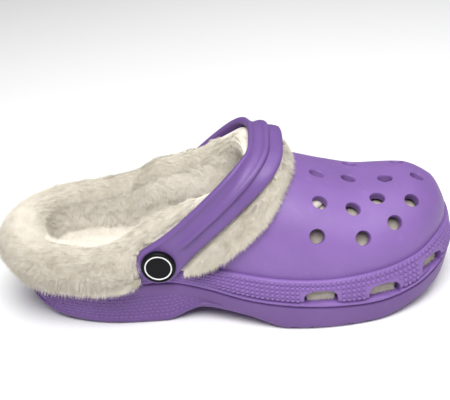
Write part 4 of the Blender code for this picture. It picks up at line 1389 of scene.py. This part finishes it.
# %% Pile: mesh of strands
def add_pile(name, points, soft, finish, node):
    count = len(points)
    mesh = bpy.data.meshes.new(name)
    mesh.vertices.add(count * 3)
    mesh.vertices.foreach_set("co", points.astype(np.float32).reshape(-1))
    mesh.loops.add(count * 3)
    mesh.loops.foreach_set("vertex_index", np.arange(count * 3, dtype=np.int32))
    mesh.polygons.add(count)
    mesh.polygons.foreach_set("loop_start", (np.arange(count) * 3).astype(np.int32))
    mesh.update(calc_edges=True)
    mesh.shade_smooth()
    mesh.normals_split_custom_set_from_vertices(np.repeat(soft, 3, axis=0).tolist())
    across = int(math.ceil(math.sqrt(count)))
    cell = np.stack([np.arange(count) % across, np.arange(count) // across], axis=1)[:, None, :]
    inside = np.array([(0.2, 0.1), (0.8, 0.1), (0.5, 0.9)])[None]
    layer = mesh.uv_layers.new(name="OFBake")
    layer.data.foreach_set("uv", ((cell + inside) / across).astype(np.float32).reshape(-1))
    print(name, count, "strands")
    return set_in_place(name, mesh, finish, [node])


# %% [markdown]
# The pile on the cuff is brushed down on the outside and down into the shoe on the
# inside. At the ridge between them it lies along the rim, which hides the parting.

# %% Pile: cuff
THIN = 1.0
LOWEST = cuff_grid.shape[0] - 1
RIDGE_ROW = CUFF_STEPS * 3
LIP_END, ROLL_END = 10, 24
RIDGE_SPREAD, HEM_ROWS = 8.0, 3.0
STAND, RIDGE_FLATTER, THROAT_SHORT = 0.40, 0.26, 0.28
free = (pressed[:-1] < 0.93).astype(float)
row_number = np.arange(LOWEST)[:, None] * np.ones((1, cuff_grid.shape[1]))


def cuff_pile(name, low, high, count, length, seed, finish):
    rng = np.random.default_rng(seed)
    wanted = free * ((row_number >= low) & (row_number < high))
    spot, normal, way, round_way, level, column = sow(cuff_grid, int(count * THIN), rng, wanted)
    turn_side = np.clip((level - RIDGE_ROW) / RIDGE_SPREAD, -1, 1)[:, None]
    along = np.where(FROM_THROAT[column] > 0.5, -0.9, 0.9)[:, None] * round_way
    comb = unit(way * turn_side + along * (1 - np.abs(turn_side)))
    near = pressed[np.minimum(level.astype(int), LOWEST), column]
    past_throat = np.clip((FROM_THROAT[column] - 0.45) / 0.15, 0, 1)
    short = 1 - THROAT_SHORT + THROAT_SHORT * past_throat
    size = length * rng.uniform(0.7, 1.15, len(spot)) * (1 + 0.12 * drift(spot, 0.012, 3)[:, 0])
    hem = np.clip(1 - level / HEM_ROWS, 0, 1)
    size = size * short * (1 - 0.6 * near) * (1 + 0.25 * hem)
    width = rng.uniform(0.00030, 0.00046, len(spot))
    stand = STAND - RIDGE_FLATTER * (1 - np.abs(turn_side[:, 0]))
    return grow(name, spot, normal, comb, size, width, rng, finish, "fleece_liner", stand)


cuff_pile("pile_lip", 0, LIP_END, 190000, 0.0060, 1, pile_cream)
cuff_pile("pile_roll", LIP_END, ROLL_END, 190000, 0.0055, 2, pile_cream)
# The pile inside the shoe takes the brighter copy: painted light in the shaded hollow.
cuff_pile("pile_inside", ROLL_END, LOWEST, 170000, 0.0050, 3, pile_painted_light)

# %% Pile: insole
def insole_pile(count, seed):
    """Twice the wanted roots are thrown over a box, and those off the insole dropped."""
    rng = np.random.default_rng(seed)
    x = rng.uniform(0.010, LENGTH - 0.010, count * 2)
    y = rng.uniform(-0.05, 0.05, count * 2)
    lateral, medial = side_lines(INSOLE_EDGE + 0.0015, 800)
    keep = (y > across_at(lateral, x)) & (y < across_at(medial, x))
    x, y = x[keep][:count], y[keep][:count]
    spot = np.column_stack([x, y, footbed_height(x / LENGTH) + 0.0048])
    normal = np.tile([0.0, 0.0, 1.0], (len(x), 1))
    comb = np.tile([0.5, 0.85, 0.0], (len(x), 1))
    size = rng.uniform(0.0034, 0.0052, len(x))
    width = rng.uniform(0.00032, 0.0005, len(x))
    # The insole pile also takes the brighter copy, as painted light.
    return grow("pile_insole", spot, normal, comb, size, width, rng, pile_painted_light, "fleece_insole", 0.35)


insole_pile(int(110000 * THIN), 4)

# %% [markdown]
# Fleece shows in each slot as a soft dome set back from the band. The slot's own shape,
# drawn in at its face, makes the pads, and short strands cover them.

# %% Pile: fleece that pushes into the slots
SLOT_PAD = [(0.0054, 0.62), (0.0058, 0.80), (0.0066, 0.92), (0.0078, 0.97), (0.0124, 0.97)]
pads = face_out(add_piece("slot_pads", *slot_blocks(SLOT_PAD), pile_cream, "fleece", ["fleece_insole"]))


def slot_pile(count, seed):
    rng = np.random.default_rng(seed)
    spots, ways = [], []
    for turn in SLOTS:
        centre, inward, across = slot_frame(turn)
        a = rng.uniform(-0.40, 0.40, count)[:, None]
        b = rng.uniform(0.16, 0.80, count)
        spot = centre + inward * 0.0060 + across * a * SLOT_WIDTH
        spot[:, 2] += b * SLOT_HEIGHT
        spots.append(spot)
        ways.append(np.tile(-inward, (count, 1)))
    spot, way = np.concatenate(spots), np.concatenate(ways)
    total = len(spot)
    comb = np.tile([0.0, 0.0, -1.0], (total, 1))
    size = rng.uniform(0.0020, 0.0036, total)
    width = rng.uniform(0.00036, 0.00055, total)
    return grow("pile_slots", spot, way, comb, size, width, rng, pile_cream, "fleece_insole", 0.40)


slot_pile(3000, 6)
